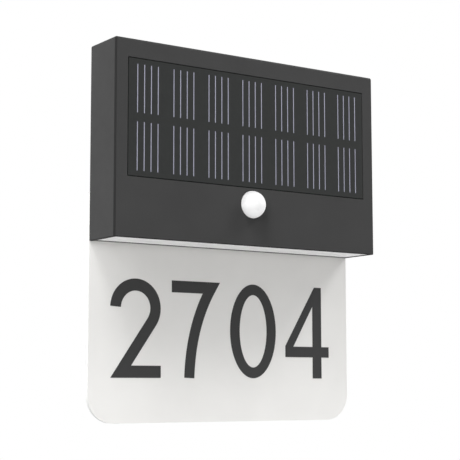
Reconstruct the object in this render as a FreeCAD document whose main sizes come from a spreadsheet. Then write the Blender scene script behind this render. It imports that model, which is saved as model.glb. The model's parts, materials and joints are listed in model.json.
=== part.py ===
import FreeCAD, Part
import math
import os
import re
import Sketcher

# Solar house number light for a wall.
# A shallow box holds a solar panel and a motion sensor in its front and a light chamber in its underside.
# A frosted plate for the number is screwed to its back cover and hangs below it.
#
# Frame: X to the right, Y towards the wall, Z up. The origin lies on the wall, midway between the
# two keyholes that the light hangs by. Inside the functions below, places are given in the
# housing's own measure: across from the middle, back from the front face, up from the bottom edge.

DOCUMENT = FreeCAD.newDocument("house_number_light")

SIZES = {
    "Housing": {
        "housing_width": 230,
        "housing_height": 139.4,
        "housing_depth": 35,
        "side_wall": 2.5,
        "front_wall": 2,
        "front_round": 1.6,
        "bottom_round": 0.6,
        "ledge_width": 2.5,
        "ledge_height": 4,
        "rib_width": 1.2,
        "rib_height": 3,
        "rib_first": 54,
        "rib_pitch": 18,
        "ribs_per_side": 3,
        "merge": 0.1,
    },
    "Back cover": {
        "cover_thickness": 3,
        "cover_play": 0.3,
        "tongue_width": 1,
        "tongue_height": 2,
        "cover_rib_low": 45,
        "cover_rib_high": 84,
        "cover_rib_reach": 48,
        "seal_thickness": 1,
        "seal_width": 2.1,
        "seal_play": 0.2,
    },
    "Cover screws": {
        "cover_screw_columns": 4,
        "cover_screw_pitch": 70,
        "cover_screw_low": 22,
        "cover_screw_high": 128.8,
        "boss_radius": 3.6,
        "gusset_width": 1.6,
        "gusset_height": 23,
        "counterbore_radius": 3.2,
        "counterbore_depth": 1.8,
        "clearance_radius": 1.7,
        "pilot_radius": 1.35,
        "pilot_depth": 12,
        "cover_shank_radius": 1.3,
        "cover_shank_length": 10,
        "cover_head_radius": 2.9,
        "cover_head_height": 1.7,
        "head_top_share": 0.7,
        "cross_length": 3,
        "cross_width": 0.7,
        "cross_depth": 0.9,
    },
    "Wall keyholes": {
        "keyhole_spacing": 120,
        "keyhole_height": 105,
        "keyhole_entry_radius": 4.5,
        "keyhole_slot_radius": 2.5,
        "keyhole_travel": 9,
        "keyhole_lip": 2.5,
        "keyhole_head_radius": 5.25,
        "keyhole_head_room": 5,
        "keyhole_box_wall": 1.5,
        "pad_radius": 10,
    },
    "Number plate": {
        "plate_thickness": 3,
        "plate_drop": 126.8,
        "plate_overlap": 34.5,
        "plate_corner": 20,
        "plate_screw_count": 3,
        "plate_screw_pitch": 70,
        "plate_screw_height": 24,
        "plate_boss_radius": 3.4,
        "plate_boss_length": 5,
        "plate_pilot_depth": 6.5,
        "plate_shank_length": 7,
        "countersink_radius": 3.1,
        "countersunk_head_radius": 2.9,
        "countersunk_head_height": 1.3,
    },
    "Solar panel": {
        "panel_width": 208.8,
        "panel_height": 82.6,
        "panel_middle": 84.2,
        "panel_gap": 0.6,
        "panel_set_back": 0.1,
        "recess_depth": 2.6,
        "recess_floor": 1.6,
        "recess_wall": 1.6,
        "laminate_thickness": 0.8,
        "board_thickness": 1.2,
        "tape_thickness": 0.5,
        "tape_width": 6,
        "tape_inset": 1.5,
        "cell_width": 28.4,
        "cell_height": 38.6,
        "cell_thickness": 0.2,
        "cell_pitch": 29.63,
        "cell_row_pitch": 40.7,
        "cell_columns": 7,
        "lead_slot_across": 45,
        "lead_slot_height": 56,
        "lead_slot_size": 6,
    },
    "Motion sensor": {
        "lens_height": 30.3,
        "lens_radius": 10,
        "lens_proud": 9.5,
        "lens_wall": 0.7,
        "lens_gap": 0.5,
        "lens_flange_radius": 12.4,
        "lens_flange": 1,
        "lens_boss_radius": 14,
        "lens_seal_thickness": 0.5,
        "retainer_thickness": 1.5,
        "retainer_radius": 13.4,
        "retainer_bore": 9.6,
        "retainer_ear_radius": 3,
        "retainer_screw_reach": 15.5,
        "sensor_radius": 4.1,
        "sensor_base_radius": 4.6,
        "sensor_base": 0.4,
        "sensor_can_height": 4.2,
        "sensor_window_width": 4,
        "sensor_window_height": 3,
        "sensor_window_depth": 0.2,
    },
    "Small screws": {
        "post_radius": 2.4,
        "small_hole_radius": 1.2,
        "small_pilot_radius": 1,
        "small_pilot_depth": 2.8,
        "small_head_radius": 2.1,
        "small_head_height": 1.2,
        "small_shank_radius": 0.95,
        "small_shank_length": 4,
    },
    "Main board": {
        "circuit_thickness": 1.6,
        "main_board_front": 9,
        "main_board_width": 56,
        "main_board_bottom": 18.6,
        "main_board_top": 62,
        "main_post_across": 24,
        "main_post_low": 23,
        "main_post_high": 57.5,
        "chip_across": 8,
        "chip_line": 44,
        "chip_length": 5,
        "chip_width": 4,
        "chip_height": 1.6,
        "coil_across": 16,
        "coil_size": 7,
        "coil_height": 4,
        "coil_chamfer": 1.4,
        "capacitor_radius": 3.15,
        "capacitor_height": 8,
        "capacitor_chamfer": 0.5,
        "socket_count": 4,
        "socket_pitch": 11,
        "socket_line": 57,
        "socket_width": 7.4,
        "socket_depth": 5.6,
        "socket_height": 6,
        "socket_wall": 0.7,
        "socket_floor": 1.4,
        "plug_play": 0.1,
        "plug_top": 18.6,
    },
    "Light chamber": {
        "partition_height": 14,
        "partition_thickness": 2.5,
        "light_line": 16,
        "led_board_length": 200,
        "led_board_width": 14,
        "led_board_gap": 1.5,
        "led_screw_count": 3,
        "led_screw_pitch": 85,
        "led_pitch": 17,
        "led_count": 12,
        "led_length": 3.5,
        "led_width": 2.8,
        "led_height": 0.7,
        "diffuser_set_up": 0.4,
        "diffuser_play": 0.3,
        "diffuser_floor": 2,
        "diffuser_wall": 1.5,
        "diffuser_top": 8,
        "diffuser_lip": 0.8,
        "lip_height": 3,
        "lip_thickness": 1.2,
        "groove_depth": 1,
        "groove_height": 2.8,
        "groove_width": 1.6,
        "grommet_line": 20,
        "grommet_hole_radius": 3.5,
        "grommet_radius": 5,
        "grommet_flange": 1,
        "grommet_bore": 1.5,
    },
    "Leads": {
        "lead_radius": 1.4,
        "lead_loop_back": 26,
        "lead_step": 4,
        "lead_turn_height": 36,
        "bend_share": 0.45,
        "battery_lead_across": -30,
        "battery_lead_turn": 70,
        "switch_lead_inset": 1,
        "switch_lead_drop": 5,
        "switch_lead_front": 10.5,
        "switch_lead_turn_front": 12.5,
        "switch_lead_across": -32,
        "switch_lead_height": 45,
    },
    "Battery": {
        "battery_height": 96,
        "battery_line": 17.2,
        "battery_radius": 9.2,
        "battery_length": 65.2,
        "battery_chamfer": 0.8,
        "nub_radius": 3,
        "nub_height": 1.5,
        "holder_front": 6.2,
        "holder_length": 77,
        "holder_width": 21.2,
        "holder_trough": 7,
        "holder_end_wall": 2.7,
        "holder_end_height": 16,
        "holder_play": 0.2,
        "holder_screw_reach": 14,
        "holder_ear_width": 8,
        "holder_ear_end": 17.5,
        "contact_thickness": 0.4,
        "contact_width": 10,
        "contact_low": 5,
        "contact_high": 15,
        "contact_cup_radius": 3,
    },
    "Switch": {
        "switch_across": -75,
        "switch_height": 60,
        "switch_board_back": 19,
        "switch_board_length": 26,
        "switch_board_width": 16,
        "switch_post_reach": 10,
        "switch_size": 8.5,
        "switch_depth": 7.5,
        "plunger_size": 2.2,
        "plunger_bore": 2.6,
        "plunger_bore_depth": 6,
        "plunger_front": 23,
        "plunger_tip": 31.5,
        "button_radius": 5,
        "button_hole_radius": 5.3,
        "button_flange_radius": 6.8,
        "button_flange": 1.2,
        "button_play": 0.3,
        "button_proud": 1.2,
        "button_round": 0.8,
        "button_socket_radius": 1.7,
        "button_socket_depth": 1,
        "dish_radius": 8.5,
        "dish_depth": 1,
    },
}


def fill_sheet():
    """The spreadsheet of driving sizes, in millimetres, one heading per group."""
    sheet = DOCUMENT.addObject("Spreadsheet::Sheet", "Sizes")
    row = 1
    for heading, group in SIZES.items():
        sheet.set(f"A{row}", heading)
        row += 1
        for name, value in group.items():
            sheet.set(f"A{row}", name)
            sheet.set(f"B{row}", str(value))
            sheet.setAlias(f"B{row}", name)
            row += 1
    DOCUMENT.recompute()
    return sheet


SHEET = fill_sheet()


def formula(text):
    """A formula in plain words as the sheet wants it, each alias with the sheet's name in front."""
    return re.sub(r"[a-z_]{3,}", lambda word: "Sizes." + word.group(), str(text))


def value_of(text):
    """The number that a formula gives now."""
    return float(SHEET.evalExpression(formula(text)))


# ---- Helpers: bodies, sketches and features ----

FRONT = "XZ_Plane"  # drawn across and up, as seen from the front; features grow backwards, to the wall
LEVEL = "XY_Plane"  # drawn across and back; features grow up
SIDE = "YZ_Plane"  # drawn back and up; features grow to the right
NEAR = 1e-3  # how far apart two equal places may come out, in millimetres


def origin_item(body, role):
    """One of the body's own origin planes or axes."""
    return next(item for item in body.Origin.OriginFeatures if item.Role == role)


def new_body(name, across="0", back="0", up="0"):
    """A body whose own origin lies at this place, in the housing's measure."""
    body = DOCUMENT.addObject("PartDesign::Body", name)
    body.Label = name
    body.setExpression("Placement.Base.x", formula(across))
    body.setExpression("Placement.Base.y", formula(f"{back} - housing_depth - plate_thickness"))
    body.setExpression("Placement.Base.z", formula(f"{up} - keyhole_height"))
    return body


def new_sketch(body, plane, away="0"):
    """A sketch parallel to one of the body's origin planes, this far along the growing side."""
    sketch = body.newObject("Sketcher::SketchObject", f"{body.Name}_sketch")
    sketch.AttachmentSupport = (origin_item(body, plane), [""])
    sketch.MapMode = "FlatFace"
    side = "-1" if plane == FRONT else "1"
    sketch.setExpression("AttachmentOffset.Base.z", formula(f"{side} * ({away})"))
    return sketch


def fix_level(sketch, curve, point, kind, text):
    """Holds a point of a curve at a formula's distance from the sketch's origin, across or up."""
    if str(text) == "0":
        axis = -2 if kind == "DistanceX" else -1
        sketch.addConstraint(Sketcher.Constraint("PointOnObject", curve, point, axis))
    else:
        distance = Sketcher.Constraint(kind, -1, 1, curve, point, value_of(text))
        number = sketch.addConstraint(distance)
        sketch.setExpression(f"Constraints[{number}]", formula(text))


def fix_point(sketch, curve, point, place):
    """Holds a point of a curve at a pair of formulas."""
    fix_level(sketch, curve, point, "DistanceX", place[0])
    fix_level(sketch, curve, point, "DistanceY", place[1])


def crown_of(start, end, centre):
    """The middle of the arc from start to end: the short way round, or anticlockwise if half a circle."""
    spoke, other = start - centre, end - centre
    sweep = math.atan2(spoke.cross(other).z, spoke.dot(other))
    if abs(sweep) > math.pi - 1e-6:
        sweep = math.pi
    return centre + FreeCAD.Rotation(FreeCAD.Vector(0, 0, 1), math.degrees(sweep / 2)).multVec(spoke)


def outline(sketch, corners, arcs=None):
    """A closed outline through corners. arcs gives the centre of each side that is an arc, by its number."""
    arcs = arcs or {}
    first = sketch.GeometryCount
    points = [FreeCAD.Vector(value_of(x), value_of(y), 0) for x, y in corners]
    ends = []
    for side, start in enumerate(points):
        end = points[(side + 1) % len(points)]
        if side in arcs:
            centre = FreeCAD.Vector(value_of(arcs[side][0]), value_of(arcs[side][1]), 0)
            crown = crown_of(start, end, centre)
            anticlockwise = (crown - start).cross(end - crown).z > 0
            run = (start, crown, end) if anticlockwise else (end, crown, start)
            sketch.addGeometry(Part.Arc(*run), False)
        else:
            sketch.addGeometry(Part.LineSegment(start, end), False)
        drawn_forwards = (sketch.Geometry[first + side].StartPoint - start).Length < NEAR
        ends.append((1, 2) if drawn_forwards else (2, 1))
    for side in range(len(points)):
        after = (side + 1) % len(points)
        joint = (first + side, ends[side][1], first + after, ends[after][0])
        sketch.addConstraint(Sketcher.Constraint("Coincident", *joint))
        fix_point(sketch, first + side, ends[side][0], corners[side])
    for side, centre in arcs.items():
        fix_level(sketch, first + side, 3, "DistanceY", centre[1])
    return sketch


def rectangle(sketch, left, bottom, right, top):
    """A rectangle between two corners."""
    return outline(sketch, [(left, bottom), (right, bottom), (right, top), (left, top)])


def box_around(sketch, across, up, width, height):
    """A rectangle about its middle."""
    left, right = f"{across} - ({width}) / 2", f"{across} + ({width}) / 2"
    low, high = f"{up} - ({height}) / 2", f"{up} + ({height}) / 2"
    return rectangle(sketch, left, low, right, high)


def circle(sketch, across, up, radius):
    """A circle about a point."""
    middle = FreeCAD.Vector(value_of(across), value_of(up), 0)
    curve = sketch.addGeometry(Part.Circle(middle, FreeCAD.Vector(0, 0, 1), value_of(radius)), False)
    fix_point(sketch, curve, 3, (across, up))
    number = sketch.addConstraint(Sketcher.Constraint("Radius", curve, value_of(radius)))
    sketch.setExpression(f"Constraints[{number}]", formula(radius))
    return sketch


def circles(sketch, places, radius):
    """Equal circles about several points."""
    for across, up in places:
        circle(sketch, across, up, radius)
    return sketch


def upright_slot(sketch, across, low, high, radius):
    """A slot with round ends, its end centres one above the other."""
    left, right = f"{across} - {radius}", f"{across} + {radius}"
    corners = [(left, low), (right, low), (right, high), (left, high)]
    return outline(sketch, corners, {0: (across, low), 2: (across, high)})


def pad(sketch, length):
    """Adds material from the sketch to its growing side."""
    body = sketch.getParentGeoFeatureGroup()
    feature = body.newObject("PartDesign::Pad", f"{body.Name}_pad")
    feature.Profile = sketch
    feature.Reversed = sketch.AttachmentSupport[0][0].Role == FRONT
    feature.setExpression("Length", formula(length))
    return feature


def pocket(sketch, length):
    """Cuts from the sketch to its growing side."""
    body = sketch.getParentGeoFeatureGroup()
    feature = body.newObject("PartDesign::Pocket", f"{body.Name}_pocket")
    feature.Profile = sketch
    feature.Reversed = sketch.AttachmentSupport[0][0].Role != FRONT
    feature.setExpression("Length", formula(length))
    return feature


def revolve(sketch, axis="V_Axis"):
    """Turns a profile right round the sketch's own vertical or horizontal axis."""
    body = sketch.getParentGeoFeatureGroup()
    feature = body.newObject("PartDesign::Revolution", f"{body.Name}_revolution")
    feature.Profile = sketch
    feature.ReferenceAxis = (sketch, [axis])
    feature.Angle = 360
    return feature


def edges_where(body, test):
    """The names of the body's edges that pass the test."""
    DOCUMENT.recompute()
    edges = body.Tip.Shape.Edges
    return [f"Edge{number}" for number, edge in enumerate(edges, start=1) if test(edge)]


def dress(body, kind, edges, size):
    """Rounds or chamfers these edges of the body's last feature."""
    base = body.Tip
    feature = body.newObject(f"PartDesign::{kind}", f"{body.Name}_{kind.lower()}")
    feature.Base = (base, edges)
    feature.setExpression("Radius" if kind == "Fillet" else "Size", formula(size))
    return feature


def row_pattern(body, axis, spacing, count):
    """A linear pattern along one of the body's own axes."""
    pattern = body.newObject("PartDesign::LinearPattern", f"{body.Name}_row")
    pattern.Direction = (origin_item(body, axis), [""])
    pattern.Mode = "Spacing"
    pattern.setExpression("Offset", formula(spacing))
    pattern.setExpression("Occurrences", formula(count))
    return pattern


def repeat(features, axis, spacing, count):
    """Repeats features along one axis."""
    body = features[0].getParentGeoFeatureGroup()
    DOCUMENT.recompute()
    pattern = row_pattern(body, axis, spacing, count)
    pattern.Originals = features
    body.Tip = pattern
    return pattern


def repeat_grid(features, across, up):
    """Repeats features across and up. Each direction is a pair: its spacing and its count."""
    body = features[0].getParentGeoFeatureGroup()
    DOCUMENT.recompute()
    grid = body.newObject("PartDesign::MultiTransform", f"{body.Name}_grid")
    rows = [row_pattern(body, "X_Axis", *across), row_pattern(body, "Z_Axis", *up)]
    grid.Originals = features
    grid.Transformations = rows
    body.Tip = grid
    return grid


# ---- Places that several pieces share ----

INNER_HALF_WIDTH = "(housing_width / 2 - side_wall)"
INNER_TOP = "(housing_height - side_wall)"
COVER_FRONT = "(housing_depth - cover_thickness)"
LEDGE_BACK = "(housing_depth - cover_thickness - seal_thickness)"
PARTITION_TOP = "(partition_height + partition_thickness)"
RECESS_BACK = "(recess_depth + recess_floor)"
FIRST_COVER_SCREW = "(-(cover_screw_columns - 1) / 2 * cover_screw_pitch)"
COVER_SCREW_ROWS = "(cover_screw_high - cover_screw_low)"
FIRST_CELL = "(-(cell_columns - 1) / 2 * cell_pitch)"
FIRST_SOCKET = "(-(socket_count - 1) / 2 * socket_pitch)"
LED_BOARD_BOTTOM = "(partition_height - led_board_gap - circuit_thickness)"
MAIN_BOARD_BACK = "(main_board_front + circuit_thickness)"
SWITCH_BOARD_FRONT = "(switch_board_back - circuit_thickness)"
PLATE_BACK = "(housing_depth + plate_thickness)"
LENS_FLANGE_FRONT = "(recess_depth + recess_floor + lens_seal_thickness)"
RETAINER_FRONT = "(recess_depth + recess_floor + lens_seal_thickness + lens_flange)"
BOX_FRONT = "(keyhole_lip + keyhole_head_room + keyhole_box_wall - cover_thickness - plate_thickness)"
MAIN_POSTS = [("-main_post_across", "main_post_low"), ("-main_post_across", "main_post_high")]
MAIN_POSTS += [("main_post_across", "main_post_low"), ("main_post_across", "main_post_high")]
HOLDER_POSTS = [("0", f"battery_height {side} holder_screw_reach") for side in ("-", "+")]
RETAINER_POSTS = [(f"{side}retainer_screw_reach", "lens_height") for side in ("-", "")]
POST_SETS = [(MAIN_POSTS, "main_board_front"), (HOLDER_POSTS, "holder_front")]
POST_SETS += [(RETAINER_POSTS, RETAINER_FRONT)]
LED_POSTS = [(across, "light_line") for across in ("-led_screw_pitch", "0", "led_screw_pitch")]
PLATE_HOLES = [(across, "plate_screw_height") for across in ("-plate_screw_pitch", "0", "plate_screw_pitch")]
SWITCH_POSTS = [(f"switch_across {side} switch_post_reach", "switch_height") for side in ("-", "+")]


# ---- Housing and back cover ----


def u_ring(sketch, outer, low, top, width):
    """A ring open at the bottom: two legs and a bar between them."""
    inner, bar = f"({outer} - {width})", f"({top} - {width})"
    corners = [(f"-{outer}", low), (f"-{inner}", low), (f"-{inner}", bar), (inner, bar)]
    corners += [(inner, low), (outer, low), (outer, top), (f"-{outer}", top)]
    return outline(sketch, corners)


def frame_ring(sketch, half_width, low, top, width):
    """A closed rectangular ring."""
    rectangle(sketch, f"-{half_width}", low, half_width, top)
    inner = f"({half_width} - {width})"
    return rectangle(sketch, f"-{inner}", f"{low} + {width}", inner, f"{top} - {width}")


def is_front_edge(edge):
    """A side or the top of the front face, but not its bottom edge."""
    box = edge.BoundBox
    return box.YMax < NEAR and box.ZMax > NEAR


def is_top_corner(edge, height):
    """One of the two upper edges that run from front to back."""
    box = edge.BoundBox
    return box.YLength > NEAR and box.ZMin > height - NEAR and box.XLength < NEAR


def front_housing_shell(body):
    """The five outer walls, rounded along the front and the top, open at the back and below."""
    half, height = "housing_width / 2", "housing_height"
    pad(rectangle(new_sketch(body, FRONT), f"-{half}", "0", half, height), "housing_depth")
    top = value_of("housing_height")
    rounded = edges_where(body, lambda edge: is_front_edge(edge) or is_top_corner(edge, top))
    dress(body, "Fillet", rounded, "front_round")
    cavity = new_sketch(body, FRONT, "front_wall")
    rectangle(cavity, f"-{INNER_HALF_WIDTH}", "-merge", INNER_HALF_WIDTH, INNER_TOP)
    pocket(cavity, "housing_depth")
    lower = edges_where(body, lambda edge: edge.BoundBox.ZMax < NEAR and edge.BoundBox.YMax < NEAR)
    dress(body, "Fillet", lower, "bottom_round")


def front_housing_inside(body):
    """Partition over the light chamber, ledge for the seal, screw bosses with gussets, posts and ribs."""
    partition = new_sketch(body, LEVEL, "partition_height")
    rectangle(partition, f"-{INNER_HALF_WIDTH}", "front_wall", INNER_HALF_WIDTH, LEDGE_BACK)
    pad(partition, "partition_thickness")
    ledge = new_sketch(body, FRONT, f"{LEDGE_BACK} - ledge_height")
    u_ring(ledge, INNER_HALF_WIDTH, "partition_height", INNER_TOP, "ledge_width")
    pad(ledge, "ledge_height")
    step = new_sketch(body, FRONT, "front_wall")
    rim = "2 * (panel_gap + recess_wall)"
    box_around(step, "0", "panel_middle", f"panel_width + {rim}", f"panel_height + {rim}")
    pad(step, f"{RECESS_BACK} - front_wall")
    boss = circle(new_sketch(body, FRONT, "front_wall"), "0", "lens_height", "lens_boss_radius")
    pad(boss, f"{RECESS_BACK} - front_wall")
    screw_columns(body)
    ribs = new_sketch(body, FRONT, f"{RECESS_BACK} - merge")
    for number in range(int(value_of("ribs_per_side"))):
        for side in ("-1", "1"):
            line = f"{side} * (rib_first + {number} * rib_pitch)"
            box_around(ribs, line, "panel_middle", "rib_width", "panel_height - 2 * ledge_width")
    pad(ribs, "rib_height")
    for places, seat in POST_SETS:
        posts = circles(new_sketch(body, FRONT, "front_wall"), places, "post_radius")
        pad(posts, f"{seat} - front_wall")
    led_posts = new_sketch(body, LEVEL, "partition_height - led_board_gap")
    pad(circles(led_posts, LED_POSTS, "post_radius"), "led_board_gap + merge")


def screw_columns(body):
    """A boss and its gusset for each cover screw, in a row along the top and a row above the partition."""
    bosses = new_sketch(body, FRONT, "front_wall")
    circle(bosses, FIRST_COVER_SCREW, "cover_screw_low", "boss_radius")
    circle(bosses, FIRST_COVER_SCREW, "cover_screw_high", "boss_radius")
    gussets = new_sketch(body, FRONT, "front_wall")
    left, right = f"{FIRST_COVER_SCREW} - gusset_width / 2", f"{FIRST_COVER_SCREW} + gusset_width / 2"
    rectangle(gussets, left, PARTITION_TOP, right, "cover_screw_low - boss_radius / 2")
    rectangle(gussets, left, "cover_screw_high + boss_radius / 2", right, INNER_TOP)
    columns = [pad(bosses, f"{COVER_FRONT} - front_wall"), pad(gussets, "gusset_height")]
    repeat(columns, "X_Axis", "cover_screw_pitch", "cover_screw_columns")


def front_housing_cuts(body):
    """Panel recess with its lead slot, lens hole, diffuser groove, grommet hole and screw pilots."""
    opening = ["panel_width + 2 * panel_gap", "panel_height + 2 * panel_gap"]
    pocket(box_around(new_sketch(body, FRONT), "0", "panel_middle", *opening), "recess_depth")
    slot = new_sketch(body, FRONT, "recess_depth")
    box_around(slot, "lead_slot_across", "lead_slot_height", "lead_slot_size", "lead_slot_size")
    pocket(slot, "recess_floor")
    pocket(circle(new_sketch(body, FRONT), "0", "lens_height", "lens_radius + lens_gap"), RECESS_BACK)
    groove = new_sketch(body, LEVEL, "groove_height")
    reach = f"({INNER_HALF_WIDTH} + groove_depth)"
    rectangle(groove, f"-{reach}", "front_wall - groove_depth", reach, "housing_depth + groove_depth")
    pocket(groove, "groove_width")
    pilots = new_sketch(body, FRONT, f"{COVER_FRONT} - pilot_depth")
    circle(pilots, FIRST_COVER_SCREW, "cover_screw_low", "pilot_radius")
    circle(pilots, FIRST_COVER_SCREW, "cover_screw_high", "pilot_radius")
    repeat([pocket(pilots, "pilot_depth")], "X_Axis", "cover_screw_pitch", "cover_screw_columns")
    for places, seat in POST_SETS:
        small = new_sketch(body, FRONT, f"{seat} - small_pilot_depth")
        pocket(circles(small, places, "small_pilot_radius"), "small_pilot_depth")
    led_pilots = new_sketch(body, LEVEL, "partition_height - led_board_gap")
    pocket(circles(led_pilots, LED_POSTS, "small_pilot_radius"), "small_pilot_depth")
    grommet = new_sketch(body, LEVEL, "partition_height")
    circle(grommet, "lead_slot_across", "grommet_line", "grommet_hole_radius")
    pocket(grommet, "partition_thickness")


def make_front_housing():
    body = new_body("front_housing")
    front_housing_shell(body)
    front_housing_inside(body)
    front_housing_cuts(body)


def make_back_cover():
    """Flat cover between the side walls, with two keyhole pads that stand as proud as the plate."""
    body = new_body("back_cover", back=COVER_FRONT)
    half = f"({INNER_HALF_WIDTH} - cover_play)"
    sheet = rectangle(new_sketch(body, FRONT), f"-{half}", "0", half, f"{INNER_TOP} - cover_play")
    pad(sheet, "cover_thickness")
    tongue = new_sketch(body, FRONT, "-tongue_height")
    reach = f"({INNER_HALF_WIDTH} - ledge_width - cover_play)"
    frame_ring(tongue, reach, f"({PARTITION_TOP} + cover_play)",
               f"({INNER_TOP} - ledge_width - cover_play)", "tongue_width")
    pad(tongue, "tongue_height + merge")
    ribs = new_sketch(body, FRONT, "-rib_height")
    for line in ("cover_rib_low", "cover_rib_high"):
        box_around(ribs, "0", line, "2 * cover_rib_reach", "rib_width")
    pad(ribs, "rib_height + merge")
    back_cover_keyholes(body)
    back_cover_screw_places(body)
    back_cover_button_place(body)
    groove = new_sketch(body, LEVEL, "groove_height")
    reach = f"({half} + groove_depth)"
    rectangle(groove, f"-{reach}", "-groove_depth", reach, "groove_depth")
    pocket(groove, "groove_width")


def back_cover_keyholes(body):
    """Pad, head box, entry hole and slot of each keyhole. The slot runs up from the entry hole."""
    low, high = "keyhole_height", "keyhole_height + keyhole_travel"
    pads = new_sketch(body, FRONT, "cover_thickness - merge")
    boxes = new_sketch(body, FRONT, f"-{BOX_FRONT}")
    rooms = new_sketch(body, FRONT, f"-{BOX_FRONT} + keyhole_box_wall")
    slots = new_sketch(body, FRONT, "cover_thickness + plate_thickness - keyhole_lip")
    entries = new_sketch(body, FRONT, "cover_thickness + plate_thickness - keyhole_lip")
    left = "(-keyhole_spacing / 2)"
    upright_slot(pads, left, low, high, "pad_radius")
    upright_slot(boxes, left, low, high, "(keyhole_head_radius + keyhole_box_wall)")
    upright_slot(rooms, left, low, high, "keyhole_head_radius")
    upright_slot(slots, left, low, high, "keyhole_slot_radius")
    circle(entries, left, low, "keyhole_entry_radius")
    solids = [pad(pads, "plate_thickness + merge"), pad(boxes, f"{BOX_FRONT} + merge")]
    repeat(solids, "X_Axis", "keyhole_spacing", "2")
    cuts = [pocket(rooms, "keyhole_head_room"), pocket(slots, "keyhole_lip"), pocket(entries, "keyhole_lip")]
    repeat(cuts, "X_Axis", "keyhole_spacing", "2")


def back_cover_screw_places(body):
    """Counterbored holes for the cover screws and blind bosses for the plate screws."""
    holes = new_sketch(body, FRONT)
    counterbores = new_sketch(body, FRONT, "cover_thickness - counterbore_depth")
    for up in ("cover_screw_low", "cover_screw_high"):
        circle(holes, FIRST_COVER_SCREW, up, "clearance_radius")
        circle(counterbores, FIRST_COVER_SCREW, up, "counterbore_radius")
    cuts = [pocket(holes, "cover_thickness"), pocket(counterbores, "counterbore_depth")]
    repeat(cuts, "X_Axis", "cover_screw_pitch", "cover_screw_columns")
    bosses = new_sketch(body, FRONT, "-plate_boss_length")
    circle(bosses, "-plate_screw_pitch", "plate_screw_height", "plate_boss_radius")
    repeat([pad(bosses, "plate_boss_length + merge")], "X_Axis", "plate_screw_pitch", "plate_screw_count")
    pilots = new_sketch(body, FRONT, "cover_thickness - plate_pilot_depth")
    circle(pilots, "-plate_screw_pitch", "plate_screw_height", "pilot_radius")
    repeat([pocket(pilots, "plate_pilot_depth")], "X_Axis", "plate_screw_pitch", "plate_screw_count")


def back_cover_button_place(body):
    """Dish and hole for the button, and two posts that carry the switch board."""
    post_length = f"({COVER_FRONT} - switch_board_back)"
    posts = new_sketch(body, FRONT, f"-{post_length}")
    pad(circles(posts, SWITCH_POSTS, "post_radius"), f"{post_length} + merge")
    pilots = new_sketch(body, FRONT, f"-{post_length}")
    pocket(circles(pilots, SWITCH_POSTS, "small_pilot_radius"), "small_pilot_depth")
    dish = new_sketch(body, FRONT, "cover_thickness - dish_depth")
    pocket(circle(dish, "switch_across", "switch_height", "dish_radius"), "dish_depth")
    hole = new_sketch(body, FRONT)
    pocket(circle(hole, "switch_across", "switch_height", "button_hole_radius"), "cover_thickness")


def make_housing_seal():
    """Flat gasket on the ledge and the back edge of the partition."""
    body = new_body("housing_seal", back=LEDGE_BACK)
    sketch = new_sketch(body, FRONT)
    frame_ring(sketch, f"({INNER_HALF_WIDTH} - seal_play)", "(partition_height + seal_play)",
               f"({INNER_TOP} - seal_play)", "seal_width")
    pad(sketch, "seal_thickness")


# ---- Screws ----


def screw_profile(sketch, size, head_side="1"):
    """Half of a pan head screw of the cover or small size, its head on this side of its seat."""
    radius, height = f"{size}_head_radius", f"{size}_head_height"
    shank, length = f"{size}_shank_radius", f"{size}_shank_length"
    corners = [("0", f"-({length})"), (shank, f"{shank} - ({length})"), (shank, "0"), (radius, "0")]
    corners += [(radius, f"{height} / 2"), (f"{radius} * head_top_share", height), ("0", height)]
    return outline(sketch, [(across, f"{head_side} * ({along})") for across, along in corners])


def cross_recess(body, head_height):
    """A cross for the driver in the head."""
    recess = new_sketch(body, FRONT, f"{head_height} - cross_depth")
    arm, half = "cross_length / 2", "cross_width / 2"
    corners = [(f"-{arm}", f"-{half}"), (f"-{half}", f"-{half}"), (f"-{half}", f"-{arm}")]
    corners += [(half, f"-{arm}"), (half, f"-{half}"), (arm, f"-{half}")]
    corners += [(arm, half), (half, half), (half, arm)]
    corners += [(f"-{half}", arm), (f"-{half}", half), (f"-{arm}", half)]
    outline(recess, corners)
    return pocket(recess, "cross_depth")


def make_cover_screws():
    body = new_body("cover_screws", FIRST_COVER_SCREW, "housing_depth - counterbore_depth", "cover_screw_low")
    screw = revolve(screw_profile(new_sketch(body, LEVEL), "cover"))
    features = [screw, cross_recess(body, "cover_head_height")]
    repeat_grid(features, ("cover_screw_pitch", "cover_screw_columns"), (COVER_SCREW_ROWS, "2"))


def make_plate_screws():
    """Countersunk screws, flush with the back of the plate."""
    body = new_body("plate_screws", "-plate_screw_pitch", PLATE_BACK, "plate_screw_height")
    profile = new_sketch(body, LEVEL, "0")
    tip, head = "-plate_shank_length", "-countersunk_head_height"
    shank = "cover_shank_radius"
    corners = [("0", tip), (shank, f"{tip} + {shank}"), (shank, head)]
    corners += [("countersunk_head_radius", "0"), ("0", "0")]
    outline(profile, corners)
    features = [revolve(profile), cross_recess(body, "0")]
    repeat(features, "X_Axis", "plate_screw_pitch", "plate_screw_count")


def small_screws(name, place):
    """One small pan head screw whose head points backwards. Returns its feature, to be repeated."""
    return revolve(screw_profile(new_sketch(new_body(name, *place), LEVEL), "small"))


def make_small_screws():
    """The screws of the lens retainer, the battery holder and the main board."""
    seat = f"{RETAINER_FRONT} + retainer_thickness"
    retainer = small_screws("retainer_screws", ("-retainer_screw_reach", seat, "lens_height"))
    repeat([retainer], "X_Axis", "2 * retainer_screw_reach", "2")
    seat = "holder_front + circuit_thickness"
    holder = small_screws("holder_screws", ("0", seat, "battery_height - holder_screw_reach"))
    repeat([holder], "Z_Axis", "2 * holder_screw_reach", "2")
    main = small_screws("main_board_screws", ("-main_post_across", MAIN_BOARD_BACK, "main_post_low"))
    repeat_grid([main], ("2 * main_post_across", "2"), ("main_post_high - main_post_low", "2"))


# ---- Number plate ----


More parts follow.
